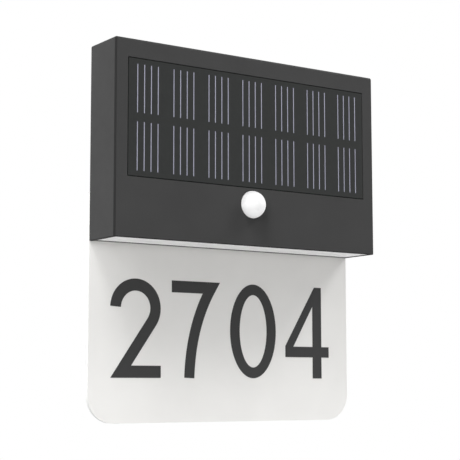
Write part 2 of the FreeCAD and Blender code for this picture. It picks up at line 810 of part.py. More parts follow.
def make_number_plate():
    """Frosted sheet as wide as the housing, its upper edge behind the cover, round lower corners."""
    body = new_body("number_plate", back="housing_depth")
    half = "housing_width / 2"
    sheet = new_sketch(body, FRONT)
    pad(rectangle(sheet, f"-{half}", "-plate_drop", half, "plate_overlap"), "plate_thickness")
    drop = value_of("plate_drop")

    def is_lower_corner(edge):
        return edge.BoundBox.YLength > NEAR and edge.BoundBox.ZMax < NEAR - drop

    dress(body, "Fillet", edges_where(body, is_lower_corner), "plate_corner")
    pocket(circles(new_sketch(body, FRONT), PLATE_HOLES, "clearance_radius"), "plate_thickness")
    back = value_of("plate_thickness")

    def is_hole_rim(edge):
        return edge.BoundBox.YMin > back - NEAR and edge.Curve.TypeId == "Part::GeomCircle" and edge.Closed

    dress(body, "Chamfer", edges_where(body, is_hole_rim), "countersink_radius - clearance_radius")


# ---- Solar panel ----


def make_solar_laminate():
    """Clear front sheet of the panel, with a shallow pocket behind it for each cell."""
    body = new_body("solar_laminate", back="panel_set_back", up="panel_middle")
    sheet = box_around(new_sketch(body, FRONT), "0", "0", "panel_width", "panel_height")
    pad(sheet, "laminate_thickness")
    cell = new_sketch(body, FRONT, "laminate_thickness - cell_thickness")
    box_around(cell, FIRST_CELL, "-cell_row_pitch / 2", "cell_width", "cell_height")
    repeat_grid([pocket(cell, "cell_thickness")], ("cell_pitch", "cell_columns"), ("cell_row_pitch", "2"))


def make_solar_cells():
    """Fourteen wafers in two rows, each in its pocket of the laminate."""
    depth = "panel_set_back + laminate_thickness - cell_thickness"
    body = new_body("solar_cells", FIRST_CELL, depth, "panel_middle - cell_row_pitch / 2")
    cell = pad(box_around(new_sketch(body, FRONT), "0", "0", "cell_width", "cell_height"), "cell_thickness")
    repeat_grid([cell], ("cell_pitch", "cell_columns"), ("cell_row_pitch", "2"))


def make_solar_backing_board():
    depth = "panel_set_back + laminate_thickness"
    body = new_body("solar_backing_board", back=depth, up="panel_middle")
    pad(box_around(new_sketch(body, FRONT), "0", "0", "panel_width", "panel_height"), "board_thickness")


def make_panel_tape():
    """Frame of double-sided tape between the backing board and the recess floor."""
    depth = "recess_depth - tape_thickness"
    body = new_body("panel_tape", back=depth, up="panel_middle")
    half_width, half_height = "(panel_width / 2 - tape_inset)", "(panel_height / 2 - tape_inset)"
    sketch = new_sketch(body, FRONT)
    frame_ring(sketch, half_width, f"-{half_height}", half_height, "tape_width")
    pad(sketch, "tape_thickness")


# ---- Motion sensor ----


def make_sensor_lens():
    """Dome with a short neck and a flange behind the housing's round boss."""
    body = new_body("sensor_lens", up="lens_height")
    centre = "(lens_radius - lens_proud)"
    inner = "(lens_radius - lens_wall)"
    flange, back = LENS_FLANGE_FRONT, RETAINER_FRONT
    corners = [("0", f"{centre} - {inner}"), ("0", "-lens_proud"), ("lens_radius", centre)]
    corners += [("lens_radius", flange), ("lens_flange_radius", flange), ("lens_flange_radius", back)]
    corners += [(inner, back), (inner, centre)]
    arcs = {1: ("0", centre), 7: ("0", centre)}
    revolve(outline(new_sketch(body, LEVEL), corners, arcs))


def make_lens_seal():
    """Flat ring between the lens flange and the housing's round boss."""
    body = new_body("lens_seal", back=RECESS_BACK, up="lens_height")
    sketch = new_sketch(body, FRONT)
    circle(sketch, "0", "0", "lens_flange_radius")
    circle(sketch, "0", "0", "lens_radius + lens_gap + seal_play")
    pad(sketch, "lens_seal_thickness")


def make_lens_retainer():
    """Ring that presses the lens flange forward, with an ear for a screw on each side."""
    body = new_body("lens_retainer", back=RETAINER_FRONT, up="lens_height")
    pad(circle(new_sketch(body, FRONT), "0", "0", "retainer_radius"), "retainer_thickness")
    screw_places = [(f"{side}retainer_screw_reach", "0") for side in ("-", "")]
    ears = circles(new_sketch(body, FRONT), screw_places, "retainer_ear_radius")
    pad(ears, "retainer_thickness")
    holes = circles(new_sketch(body, FRONT), screw_places, "small_hole_radius")
    pocket(circle(holes, "0", "0", "retainer_bore"), "retainer_thickness")


def make_motion_sensor():
    """Metal can with its window, standing on the main board behind the lens."""
    body = new_body("motion_sensor", back="main_board_front", up="lens_height")
    corners = [("0", "-sensor_can_height"), ("sensor_radius", "-sensor_can_height")]
    corners += [("sensor_radius", "-sensor_base"), ("sensor_base_radius", "-sensor_base")]
    corners += [("sensor_base_radius", "0"), ("0", "0")]
    revolve(outline(new_sketch(body, LEVEL), corners))
    window = new_sketch(body, FRONT, "-sensor_can_height")
    box_around(window, "0", "0", "sensor_window_width", "sensor_window_height")
    pocket(window, "sensor_window_depth")


# ---- Main board ----


def make_main_board():
    body = new_body("main_board", back="main_board_front")
    half = "main_board_width / 2"
    pad(rectangle(new_sketch(body, FRONT), f"-{half}", "main_board_bottom", half, "main_board_top"),
        "circuit_thickness")
    pocket(circles(new_sketch(body, FRONT), MAIN_POSTS, "small_hole_radius"), "circuit_thickness")


def make_board_parts():
    """The larger parts on the back of the main board: three chips, a coil and a capacitor."""
    chips = new_body("board_chips", back=MAIN_BOARD_BACK)
    sketch = new_sketch(chips, FRONT)
    for side in ("-", ""):
        box_around(sketch, f"{side}chip_across", "chip_line", "chip_length", "chip_width")
    box_around(sketch, "0", "lens_height", "chip_length", "chip_width")
    pad(sketch, "chip_height")
    coil = new_body("board_coil", "coil_across", MAIN_BOARD_BACK, "lens_height")
    pad(box_around(new_sketch(coil, FRONT), "0", "0", "coil_size", "coil_size"), "coil_height")
    corners = edges_where(coil, lambda edge: edge.BoundBox.YLength > NEAR and edge.BoundBox.XLength < NEAR)
    dress(coil, "Chamfer", corners, "coil_chamfer")
    capacitor = new_body("board_capacitor", "-coil_across", MAIN_BOARD_BACK, "lens_height")
    pad(circle(new_sketch(capacitor, FRONT), "0", "0", "capacitor_radius"), "capacitor_height")
    rims = edges_where(capacitor, lambda edge: edge.BoundBox.YMin > NEAR and edge.Closed)
    dress(capacitor, "Chamfer", rims, "capacitor_chamfer")


def make_lead_sockets():
    """Four shrouded sockets in a row along the board's upper edge."""
    body = new_body("lead_sockets", FIRST_SOCKET, MAIN_BOARD_BACK, "socket_line")
    outside = box_around(new_sketch(body, FRONT), "0", "0", "socket_width", "socket_depth")
    block = pad(outside, "socket_height")
    room = new_sketch(body, FRONT, "socket_floor")
    box_around(room, "0", "0", "socket_width - 2 * socket_wall", "socket_depth - 2 * socket_wall")
    cut = pocket(room, "socket_height - socket_floor")
    repeat([block, cut], "X_Axis", "socket_pitch", "socket_count")


def make_lead_plugs():
    """The plugs of the four leads, pushed into the sockets."""
    start = f"({MAIN_BOARD_BACK} + socket_floor)"
    body = new_body("lead_plugs", FIRST_SOCKET, start, "socket_line")
    sketch = new_sketch(body, FRONT)
    wall = "(socket_wall + plug_play)"
    box_around(sketch, "0", "0", f"socket_width - 2 * {wall}", f"socket_depth - 2 * {wall}")
    repeat([pad(sketch, f"plug_top - {start}")], "X_Axis", "socket_pitch", "socket_count")


# ---- Light chamber ----


def make_led_board():
    body = new_body("led_board", back="light_line", up=LED_BOARD_BOTTOM)
    sheet = box_around(new_sketch(body, LEVEL), "0", "0", "led_board_length", "led_board_width")
    pad(sheet, "circuit_thickness")
    holes = [(across, "0") for across in ("-led_screw_pitch", "0", "led_screw_pitch")]
    pocket(circles(new_sketch(body, LEVEL), holes, "small_hole_radius"), "circuit_thickness")


def make_leds():
    """Light-emitting diodes under the board, facing down to the diffuser."""
    first = "(-(led_count - 1) / 2 * led_pitch)"
    body = new_body("leds", first, "light_line", f"({LED_BOARD_BOTTOM} - led_height)")
    package = pad(box_around(new_sketch(body, LEVEL), "0", "0", "led_length", "led_width"), "led_height")
    repeat([package], "X_Axis", "led_pitch", "led_count")


def make_led_board_screws():
    """Pan head screws from below, through the board into the partition's posts."""
    body = new_body("led_board_screws", "-led_screw_pitch", "light_line", LED_BOARD_BOTTOM)
    screw = revolve(screw_profile(new_sketch(body, FRONT), "small", "-1"))
    repeat([screw], "X_Axis", "led_screw_pitch", "led_screw_count")


def make_diffuser():
    """Opal tray whose lip slides along a groove in the walls until the back cover closes behind it."""
    body = new_body("diffuser")
    half = f"({INNER_HALF_WIDTH} - diffuser_play)"
    front = "(front_wall + diffuser_play)"
    back = f"({COVER_FRONT} - diffuser_play)"
    tray = new_sketch(body, LEVEL, "diffuser_set_up")
    pad(rectangle(tray, f"-{half}", front, half, back), "diffuser_top - diffuser_set_up")
    lip = new_sketch(body, LEVEL, "lip_height")
    reach = f"({half} + diffuser_lip)"
    rectangle(lip, f"-{reach}", f"{front} - diffuser_lip", reach, f"{back} + diffuser_lip")
    pad(lip, "lip_thickness")
    room = new_sketch(body, LEVEL, "diffuser_set_up + diffuser_floor")
    inner = f"({half} - diffuser_wall)"
    rectangle(room, f"-{inner}", f"{front} + diffuser_wall", inner, f"{back} - diffuser_wall")
    pocket(room, "diffuser_top")


def make_lead_grommet():
    """Rubber bush that seals the lead's way through the partition."""
    body = new_body("lead_grommet", "lead_slot_across", "grommet_line", "partition_height")
    neck, flange = "(grommet_hole_radius - plug_play)", "grommet_flange"
    corners = [("grommet_bore", f"-{flange}"), ("grommet_radius", f"-{flange}"), ("grommet_radius", "0")]
    corners += [(neck, "0"), (neck, "partition_thickness"), ("grommet_radius", "partition_thickness")]
    corners += [("grommet_radius", f"partition_thickness + {flange}")]
    corners += [("grommet_bore", f"partition_thickness + {flange}")]
    revolve(outline(new_sketch(body, FRONT), corners))


# ---- Battery ----


def make_battery_cell():
    """Round lithium cell lying across the housing."""
    body = new_body("battery_cell", "0", "battery_line", "battery_height")
    half, shoulder = "battery_length / 2", "(battery_length / 2 - nub_height)"
    corners = [(f"-{half}", "0"), (half, "0"), (half, "nub_radius"), (shoulder, "nub_radius")]
    corners += [(shoulder, "battery_radius"), (f"-{half}", "battery_radius")]
    revolve(outline(new_sketch(body, LEVEL), corners), "H_Axis")
    radius = value_of("battery_radius")

    def is_end_rim(edge):
        return edge.Closed and abs(edge.BoundBox.ZLength / 2 - radius) < NEAR

    dress(body, "Chamfer", edges_where(body, is_end_rim), "battery_chamfer")


def make_battery_holder():
    """Moulded trough with two end walls and two screw ears."""
    body = new_body("battery_holder", "0", "holder_front", "battery_height")
    length, width = "holder_length", "holder_width"
    pad(box_around(new_sketch(body, FRONT), "0", "0", length, width), "holder_trough")
    end_walls = new_sketch(body, FRONT)
    for side in ("-1", "1"):
        middle = f"{side} * (holder_length - holder_end_wall) / 2"
        box_around(end_walls, middle, "0", "holder_end_wall", width)
    pad(end_walls, "holder_end_height")
    ears = new_sketch(body, FRONT)
    box_around(ears, "0", "0", "holder_ear_width", "2 * holder_ear_end")
    pad(ears, "circuit_thickness")
    trough = new_sketch(body, SIDE, "-holder_length / 2 + holder_end_wall")
    circle(trough, "battery_line - holder_front", "0", "battery_radius + holder_play")
    pocket(trough, "holder_length - 2 * holder_end_wall")
    holes = [("0", f"{side}holder_screw_reach") for side in ("-", "")]
    pocket(circles(new_sketch(body, FRONT), holes, "small_hole_radius"), "circuit_thickness")


def make_battery_contacts():
    """Leaf contacts with a cup that presses on each end of the cell."""
    body = new_body("battery_contacts", "0", "holder_front", "battery_height")
    inner = "(holder_length / 2 - holder_end_wall)"
    reach = f"({inner} - contact_thickness - battery_length / 2)"
    for leaf_start, cup_start in ((f"-{inner}", f"-battery_length / 2 - {reach}"),
                                  (f"{inner} - contact_thickness", "battery_length / 2")):
        leaf = new_sketch(body, SIDE, leaf_start)
        rectangle(leaf, "contact_low", "-contact_width / 2", "contact_high", "contact_width / 2")
        pad(leaf, "contact_thickness")
        cup = new_sketch(body, SIDE, cup_start)
        pad(circle(cup, "battery_line - holder_front", "0", "contact_cup_radius"), reach)


# ---- Switch ----


def make_switch():
    """Latching push switch on its own small board, and the plunger that the button moves."""
    board = new_body("switch_board", "switch_across", SWITCH_BOARD_FRONT, "switch_height")
    pad(box_around(new_sketch(board, FRONT), "0", "0", "switch_board_length", "switch_board_width"),
        "circuit_thickness")
    holes = [(f"{side}switch_post_reach", "0") for side in ("-", "")]
    pocket(circles(new_sketch(board, FRONT), holes, "small_hole_radius"), "circuit_thickness")
    case = new_body("switch_body", "switch_across", "switch_board_back", "switch_height")
    pad(box_around(new_sketch(case, FRONT), "0", "0", "switch_size", "switch_size"), "switch_depth")
    bore = new_sketch(case, FRONT, "switch_depth - plunger_bore_depth")
    pocket(box_around(bore, "0", "0", "plunger_bore", "plunger_bore"), "plunger_bore_depth")
    plunger = new_body("switch_plunger", "switch_across", "plunger_front", "switch_height")
    pad(box_around(new_sketch(plunger, FRONT), "0", "0", "plunger_size", "plunger_size"),
        "plunger_tip - plunger_front")


def make_switch_button():
    """Rubber cap in the cover's hole, held by its flange, with a socket for the plunger's tip."""
    base = f"({COVER_FRONT} - button_play - button_flange)"
    body = new_body("switch_button", "switch_across", base, "switch_height")
    top = "(cover_thickness + button_flange + button_play + button_proud)"
    corners = [("0", "button_socket_depth"), ("button_socket_radius", "button_socket_depth")]
    corners += [("button_socket_radius", "0"), ("button_flange_radius", "0")]
    corners += [("button_flange_radius", "button_flange"), ("button_radius", "button_flange")]
    corners += [("button_radius", top), ("0", top)]
    revolve(outline(new_sketch(body, LEVEL), corners))
    height = value_of(top)
    rim = edges_where(body, lambda edge: edge.Closed and edge.BoundBox.YMin > height - NEAR)
    dress(body, "Fillet", rim, "button_round")


def make_switch_board_screws():
    """Two screws from the front of the switch board into the cover's posts."""
    first = "switch_across - switch_post_reach"
    body = new_body("switch_board_screws", first, SWITCH_BOARD_FRONT, "switch_height")
    screw = revolve(screw_profile(new_sketch(body, LEVEL), "small", "-1"))
    repeat([screw], "X_Axis", "2 * switch_post_reach", "2")


# ---- Leads inside the housing ----


def tube_along(places, radius):
    """A round tube through these places: straight runs joined by tangent arcs."""
    points = [FreeCAD.Vector(*place) for place in places]
    share = value_of("bend_share")
    edges = []
    start = points[0]
    for before, corner, after in zip(points, points[1:], points[2:]):
        way_in = (corner - before).normalize()
        way_out = (after - corner).normalize()
        half_turn = way_in.getAngle(way_out) / 2
        reach = share * min((corner - before).Length, (after - corner).Length)
        arc_start = corner - way_in * reach
        arc_end = corner + way_out * reach
        bend = reach / math.tan(half_turn)
        inward = (way_out - way_in).normalize()
        centre = corner + inward * (bend / math.cos(half_turn))
        crown = centre - inward * bend
        edges.append(Part.LineSegment(start, arc_start).toShape())
        edges.append(Part.Arc(arc_start, crown, arc_end).toShape())
        print(f"  bend radius {bend:.1f} mm")
        start = arc_end
    edges.append(Part.LineSegment(start, points[-1]).toShape())
    path = Part.Wire(edges)
    section = Part.Wire(Part.Circle(points[0], points[1] - points[0], radius).toShape())
    tube = path.makePipeShell([section], True, False)
    fullness = tube.Volume / (path.Length * math.pi * radius**2)
    print(f"  lead {path.Length:.1f} mm long, volume {fullness:.3f} of section times length")
    return tube


def make_lead(name, places):
    """A two-core lead along a route given in the housing's measure."""
    feature = DOCUMENT.addObject("Part::Feature", name)
    feature.Label = name
    radius = value_of("lead_radius")
    feature.Shape = tube_along([[value_of(part) for part in place] for place in places], radius)
    base = FreeCAD.Vector(0, -value_of(PLATE_BACK), -value_of("keyhole_height"))
    feature.Placement = FreeCAD.Placement(base, FreeCAD.Rotation())


def make_leads():
    """The four leads that end in the main board's plugs. Their routes follow the free space inside."""
    count = int(value_of("socket_count"))
    sockets = [f"{FIRST_SOCKET} + {number} * socket_pitch" for number in range(count)]
    line = "socket_line"
    slot = ("lead_slot_across", "lead_slot_height")
    board = "panel_set_back + laminate_thickness + board_thickness"
    solar = [(slot[0], board, slot[1]), (slot[0], "lead_loop_back - lead_step", slot[1])]
    make_lead("solar_lead", solar + [(sockets[3], "lead_loop_back", line), (sockets[3], "plug_top", line)])
    gland = [(slot[0], "grommet_line", "partition_height - led_board_gap")]
    gland += [(slot[0], "grommet_line", "lead_turn_height")]
    make_lead("led_lead", gland + [(sockets[2], "lead_loop_back", line), (sockets[2], "plug_top", line)])
    holder = [("battery_lead_across", "battery_line", "battery_height - holder_width / 2")]
    holder += [("battery_lead_across", "battery_line", "battery_lead_turn")]
    make_lead("battery_lead", holder + [(sockets[0], "lead_loop_back", line), (sockets[0], "plug_top", line)])
    foot = ("switch_across + switch_post_reach - switch_lead_inset", "switch_height - switch_lead_drop")
    switch = [(foot[0], SWITCH_BOARD_FRONT, foot[1]), (foot[0], "switch_lead_front", foot[1])]
    switch += [("switch_lead_across", "switch_lead_turn_front", "switch_lead_height")]
    make_lead("switch_lead", switch + [(sockets[1], "lead_loop_back", line), (sockets[1], "plug_top", line)])


# ---- Build ----


def make_all():
    make_front_housing()
    make_back_cover()
    make_housing_seal()
    make_cover_screws()
    make_number_plate()
    make_plate_screws()
    make_solar_laminate()
    make_solar_cells()
    make_solar_backing_board()
    make_panel_tape()
    make_sensor_lens()
    make_lens_seal()
    make_lens_retainer()
    make_motion_sensor()
    make_main_board()
    make_board_parts()
    make_lead_sockets()
    make_lead_plugs()
    make_led_board()
    make_leds()
    make_led_board_screws()
    make_diffuser()
    make_lead_grommet()
    make_battery_cell()
    make_battery_holder()
    make_battery_contacts()
    make_switch()
    make_switch_button()
    make_switch_board_screws()
    make_small_screws()
    make_leads()
    DOCUMENT.recompute()


def check_features():
    """Stops if a feature failed, or added or cut nothing."""
    for item in DOCUMENT.Objects:
        if {"Invalid", "Error"} & set(item.State):
            raise RuntimeError(f"{item.Label} is {item.State}")
        if item.TypeId not in ("PartDesign::Pad", "PartDesign::Pocket"):
            continue
        before = item.BaseFeature.Shape.Volume if item.BaseFeature else 0
        change = item.Shape.Volume - before
        grows = item.TypeId == "PartDesign::Pad"
        if change * (1 if grows else -1) < 1e-6:
            raise RuntimeError(f"{item.Label} changes the volume by {change:.3f}")


def write_parts():
    """Writes each piece to a file of its own name."""
    pieces = [item for item in DOCUMENT.Objects if item.TypeId in ("PartDesign::Body", "Part::Feature")]
    for piece in pieces:
        if piece.Shape.isNull() or not piece.Shape.isValid():
            raise RuntimeError(f"{piece.Label} has no valid shape")
    os.makedirs("parts", exist_ok=True)
    for piece in pieces:
        piece.Shape.exportStep(f"parts/{piece.Label}.step")
        box = piece.Shape.BoundBox
        print(f"{piece.Label}: {len(piece.Shape.Solids)} solid(s), {piece.Shape.Volume:.0f} mm3, "
              f"{box.XLength:.1f} x {box.YLength:.1f} x {box.ZLength:.1f}")


make_all()
check_features()
write_parts()
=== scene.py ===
# %% [markdown]
# # A solar light that carries a house number
#
# The real thing is a shallow dark plastic box with a solar panel and a motion sensor in its front.
# An opal cover closes the light chamber in its underside, and a frosted plate hangs from its back, so
# that the light falls down along the number. The construction is loaded first as a fixed frame: every
# piece of it stays where it is, and this file adds the finish of each surface, the number and the silver
# lines of the cells.

# %% Load the construction
import json
import math
import bmesh
import bpy
from mathutils import Matrix, Vector


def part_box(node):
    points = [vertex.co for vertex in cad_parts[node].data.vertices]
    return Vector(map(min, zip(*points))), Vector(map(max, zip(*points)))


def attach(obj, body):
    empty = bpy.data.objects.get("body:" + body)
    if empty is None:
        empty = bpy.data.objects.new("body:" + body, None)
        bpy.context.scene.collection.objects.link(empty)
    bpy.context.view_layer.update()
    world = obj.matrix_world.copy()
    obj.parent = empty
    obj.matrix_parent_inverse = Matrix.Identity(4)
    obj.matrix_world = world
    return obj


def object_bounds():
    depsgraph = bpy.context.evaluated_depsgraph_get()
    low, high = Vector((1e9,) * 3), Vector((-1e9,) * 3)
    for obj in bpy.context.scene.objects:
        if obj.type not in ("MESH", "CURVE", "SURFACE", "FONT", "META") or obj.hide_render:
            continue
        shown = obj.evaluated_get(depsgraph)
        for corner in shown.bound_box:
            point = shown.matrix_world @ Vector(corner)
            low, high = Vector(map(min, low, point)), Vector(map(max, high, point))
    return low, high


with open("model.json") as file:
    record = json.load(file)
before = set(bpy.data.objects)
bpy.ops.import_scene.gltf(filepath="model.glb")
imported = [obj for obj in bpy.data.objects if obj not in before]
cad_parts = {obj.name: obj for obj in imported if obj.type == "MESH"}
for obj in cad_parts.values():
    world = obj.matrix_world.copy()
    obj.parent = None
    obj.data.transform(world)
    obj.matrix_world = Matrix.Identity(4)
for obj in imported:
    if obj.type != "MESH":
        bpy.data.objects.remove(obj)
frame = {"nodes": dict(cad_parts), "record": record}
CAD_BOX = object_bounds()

print("the construction reaches from", CAD_BOX[0], "to", CAD_BOX[1])

# %% [markdown]
# ## Where things are
#
# What this file adds lies on pieces of the construction, so their boxes are measured first, and whatever
# is added takes its place from them. The frame is in metres, with X to the right, Y towards the wall and
# Z up. Its origin lies on the wall, between the two keyholes.

# %% Measure the pieces that others are placed by
MM = 0.001
HOUSING_LOW, HOUSING_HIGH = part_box("front_housing")
PANEL_LOW, PANEL_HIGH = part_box("solar_laminate")
PLATE_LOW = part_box("number_plate")[0]
BODY = "light"

print("housing", [round((b - a) / MM, 1) for a, b in zip(HOUSING_LOW, HOUSING_HIGH)], "mm")
print("panel", [round((b - a) / MM, 1) for a, b in zip(PANEL_LOW, PANEL_HIGH)], "mm")

# %% [markdown]
# ## The camera
#
# The light is seen from a little below and from its left, with a long lens about a metre away. A long
# lens keeps the perspective gentle. The camera could be pointed at the light by a constraint, but then
# its place would also set the framing. Here it is turned by angles instead, as a photographer would
# swing and tilt it, and its axes are written out from those angles.

# %% Set up the camera
CAMERA_AT = Vector((-0.5562, -0.8244, -0.2070))
CAMERA_SWING = math.radians(-34.293)
CAMERA_RISE = math.radians(-6.735)
CAMERA_ROLL = math.radians(-0.062)
LENS_MM = 104.50
SENSOR_MM = 36.0
NEAREST_SEEN = 10 * MM


def camera_turn(swing, rise, roll):
    """The camera's turn: swing about the vertical, rise above the horizon, roll about the line of sight."""
    right = Vector((math.cos(swing), math.sin(swing), 0))
    level = math.cos(rise)
    backwards = Vector((math.sin(swing) * level, -math.cos(swing) * level, math.sin(rise)))
    up = backwards.cross(right)
    turn = Matrix((right, up, backwards)).transposed()
    return turn @ Matrix.Rotation(roll, 3, "Z")


lens = bpy.data.cameras.new("camera")
lens.lens = LENS_MM
lens.sensor_width = SENSOR_MM
lens.clip_start = NEAREST_SEEN
camera = bpy.data.objects.new("camera", lens)
turn = camera_turn(CAMERA_SWING, CAMERA_RISE, CAMERA_ROLL)
camera.matrix_world = Matrix.Translation(CAMERA_AT) @ turn.to_4x4()
bpy.context.scene.collection.objects.link(camera)
bpy.context.scene.camera = camera
bpy.context.scene.view_settings.view_transform = "Standard"
print("camera", round((CAMERA_AT - Vector((0, HOUSING_LOW[1], 0))).length, 3), "m from the front")

# %% [markdown]
# ## Nodes in a few words
#
# Every finish below is made of shader nodes. These helpers keep each of them to a few lines: one makes
# a node and sets its inputs, one does a step of arithmetic, one gives a cloudy pattern at a size in
# millimetres, and one brings such a pattern into a range. The patterns read the object's own
# coordinates, which are metres in this frame, so a size is a real size. A noise's values lie mostly
# between 0.3 and 0.7, so that is the range that is taken where no other is given.


# %% Make the node helpers
def add_node(tree, kind, **inputs):
    """A node of this kind. Inputs are named in lower case, and each is a value or another node's output."""
    node = tree.nodes.new(kind)
    for name, value in inputs.items():
        socket = next(s for s in node.inputs if s.enabled and s.name.lower().replace(" ", "_") == name)
        if isinstance(value, bpy.types.NodeSocket):
            tree.links.new(value, socket)
        else:
            socket.default_value = value
    return node


def object_place(tree):
    """The place on the object, in metres."""
    return tree.nodes.new("ShaderNodeTexCoord").outputs["Object"]


def place_parts(tree):
    """The X, Y and Z of the place on the object."""
    return add_node(tree, "ShaderNodeSeparateXYZ", vector=object_place(tree)).outputs


def facing_parts(tree):
    """The X, Y and Z of the way that the surface faces, each from -1 to 1."""
    normal = tree.nodes.new("ShaderNodeNewGeometry").outputs["Normal"]
    return add_node(tree, "ShaderNodeSeparateXYZ", vector=normal).outputs


def cloud(tree, size_mm, detail=3.0, stretch=(1, 1, 1)):
    """A soft random pattern whose blots are about this large. stretch squeezes it along an axis."""
    mapping = add_node(tree, "ShaderNodeMapping", vector=object_place(tree), scale=stretch)
    noise = add_node(tree, "ShaderNodeTexNoise", vector=mapping.outputs[0], scale=1 / (size_mm * MM),
                     detail=detail)
    return noise.outputs["Fac"]


def between(tree, value, low, high, from_low=0.3, from_high=0.7):
    """The value, taken from one range into another."""
    node = add_node(tree, "ShaderNodeMapRange", value=value, from_min=from_low, from_max=from_high,
                    to_min=low, to_max=high)
    return node.outputs[0]


def calc(tree, operation, first, second=0.0):
    """One step of arithmetic."""
    node = tree.nodes.new("ShaderNodeMath")
    node.operation = operation
    for socket, value in zip(node.inputs, (first, second)):
        if isinstance(value, bpy.types.NodeSocket):
            tree.links.new(value, socket)
        else:
            socket.default_value = value
    return node.outputs[0]


print("helpers for places and patterns ready")

# %% [markdown]
# ## A finish and its colour
#
# All finishes start from one Principled shader, which stands for most real surfaces. What is the same
# all over a surface is set on the shader itself, and what varies from place to place is driven by nodes.


# %% Make the helpers for colour, relief and finish
def blend_colours(tree, share, first, second):
    """A colour between two others."""
    node = tree.nodes.new("ShaderNodeMix")
    node.data_type = "RGBA"
    colour_inputs = [s for s in node.inputs if s.type == "RGBA"]
    tree.links.new(share, node.inputs[0])
    for socket, colour in zip(colour_inputs, (first, second)):
        if isinstance(colour, bpy.types.NodeSocket):
            tree.links.new(colour, socket)
        else:
            socket.default_value = (*colour, 1)
    return next(s for s in node.outputs if s.type == "RGBA")


def shade(colour, factor):
    """A colour made lighter or darker."""
    return tuple(min(part * factor, 1.0) for part in colour)


def cloudy_colour(tree, colour, size_mm, detail, darkest, lightest):
    """A colour that wanders between a darker and a lighter tone of itself."""
    tone = between(tree, cloud(tree, size_mm, detail=detail), 0, 1)
    return blend_colours(tree, tone, shade(colour, darkest), shade(colour, lightest))


def relief(tree, height, depth_mm):
    """A normal for a relief of this depth."""
    bump = add_node(tree, "ShaderNodeBump", height=height, distance=depth_mm * MM, strength=1.0)
    return bump.outputs[0]


def new_finish(name, **inputs):
    """A material with a Principled shader. Returns the material, its node tree and the shader."""
    material = bpy.data.materials.new(name)
    material.use_nodes = True
    tree = material.node_tree
    tree.nodes.clear()
    shader = add_node(tree, "ShaderNodeBsdfPrincipled", **inputs)
    output = tree.nodes.new("ShaderNodeOutputMaterial")
    tree.links.new(shader.outputs[0], output.inputs["Surface"])
    return material, tree, shader


def drive(tree, shader, name, value):
    """Feeds one of the shader's inputs from a node."""
    tree.links.new(value, shader.inputs[name])


print("helpers for finishes ready")

# %% [markdown]
# ## Painted shade on the edges and painted light on a rim
#
# The rounded edges of the box are a millimetre and a half wide, and on the real one shade makes them show
# as thin lines darker than its faces. So narrow a round doesn't darken by its shading alone in even light,
# so a darker tone is painted on it, as painted shade. The surface's own normal finds it: on a flat face
# of the box the normal lies along one axis, and on a rounded edge it doesn't. The back cover's lower edge,
# a narrow strip behind the opal cover, is found in the same way and painted pale, as painted light: it
# stands for the opal cover's pale light that falls on it.

# %% Find the edges and the rim
FLAT_FROM = 0.93
FLAT_FULLY = 0.995
LOOKS_DOWN = -0.9
RIM_REACH = 1 * MM


def on_flat_face(tree):
    """1 on a face that looks along an axis, 0 on the rounded edge between two such faces."""
    facing = facing_parts(tree)
    along = [calc(tree, "ABSOLUTE", facing[axis]) for axis in ("X", "Y", "Z")]
    most = calc(tree, "MAXIMUM", calc(tree, "MAXIMUM", along[0], along[1]), along[2])
    return between(tree, most, 0, 1, FLAT_FROM, FLAT_FULLY)


def on_lower_rim(tree):
    """1 on the faces that look down at the housing's lower edge, where painted light goes, 0 elsewhere."""
    looks_down = calc(tree, "LESS_THAN", facing_parts(tree)["Z"], LOOKS_DOWN)
    is_low = calc(tree, "LESS_THAN", place_parts(tree)["Z"], HOUSING_LOW[2] + RIM_REACH)
    return calc(tree, "MULTIPLY", looks_down, is_low)


print("an edge turns at least", round(math.degrees(math.acos(FLAT_FULLY)), 1), "degrees off the axes")

# %% [markdown]
# ## Moulded plastic
#
# The box is injection moulded in a dark grey, with a fine satin grain that the mould was etched with.
# The grain is a relief less than a hundredth of a millimetre deep, so it blurs the gloss and doesn't
# show as bumps. A slower cloud of tone and gloss over it keeps a large flat face from looking like
# a flat colour. One function makes every moulded piece, because colour, gloss and grain are almost all
# that differs between them.

# %% Make the moulded plastics
TONE_CLOUD_MM = 40
TONE_VARIES = 0.06
GLOSS_CLOUD_MM = 6
GLOSS_VARIES = 0.04


def moulded(name, colour, gloss, grain_mm=0.35, grain_depth_mm=0.006, specular=0.5, edge=1.0, rim=None):
    """Moulded plastic: gloss is its middle roughness, edge the painted shade of its rounded edges."""
    material, tree, shader = new_finish(name, specular_ior_level=specular)
    face = cloudy_colour(tree, colour, size_mm=TONE_CLOUD_MM, detail=4, darkest=1 - TONE_VARIES,
                         lightest=1 + TONE_VARIES)
    # The rounded edges are painted darker, as painted shade, and the lower rim paler, as painted light.
    if edge < 1:
        face = blend_colours(tree, on_flat_face(tree), shade(colour, edge), face)
    if rim:
        face = blend_colours(tree, on_lower_rim(tree), face, rim)
    roughness = between(tree, cloud(tree, GLOSS_CLOUD_MM), gloss - GLOSS_VARIES, gloss + GLOSS_VARIES)
    drive(tree, shader, "Base Color", face)
    drive(tree, shader, "Roughness", roughness)
    drive(tree, shader, "Normal", relief(tree, cloud(tree, grain_mm, detail=2), depth_mm=grain_depth_mm))
    return material
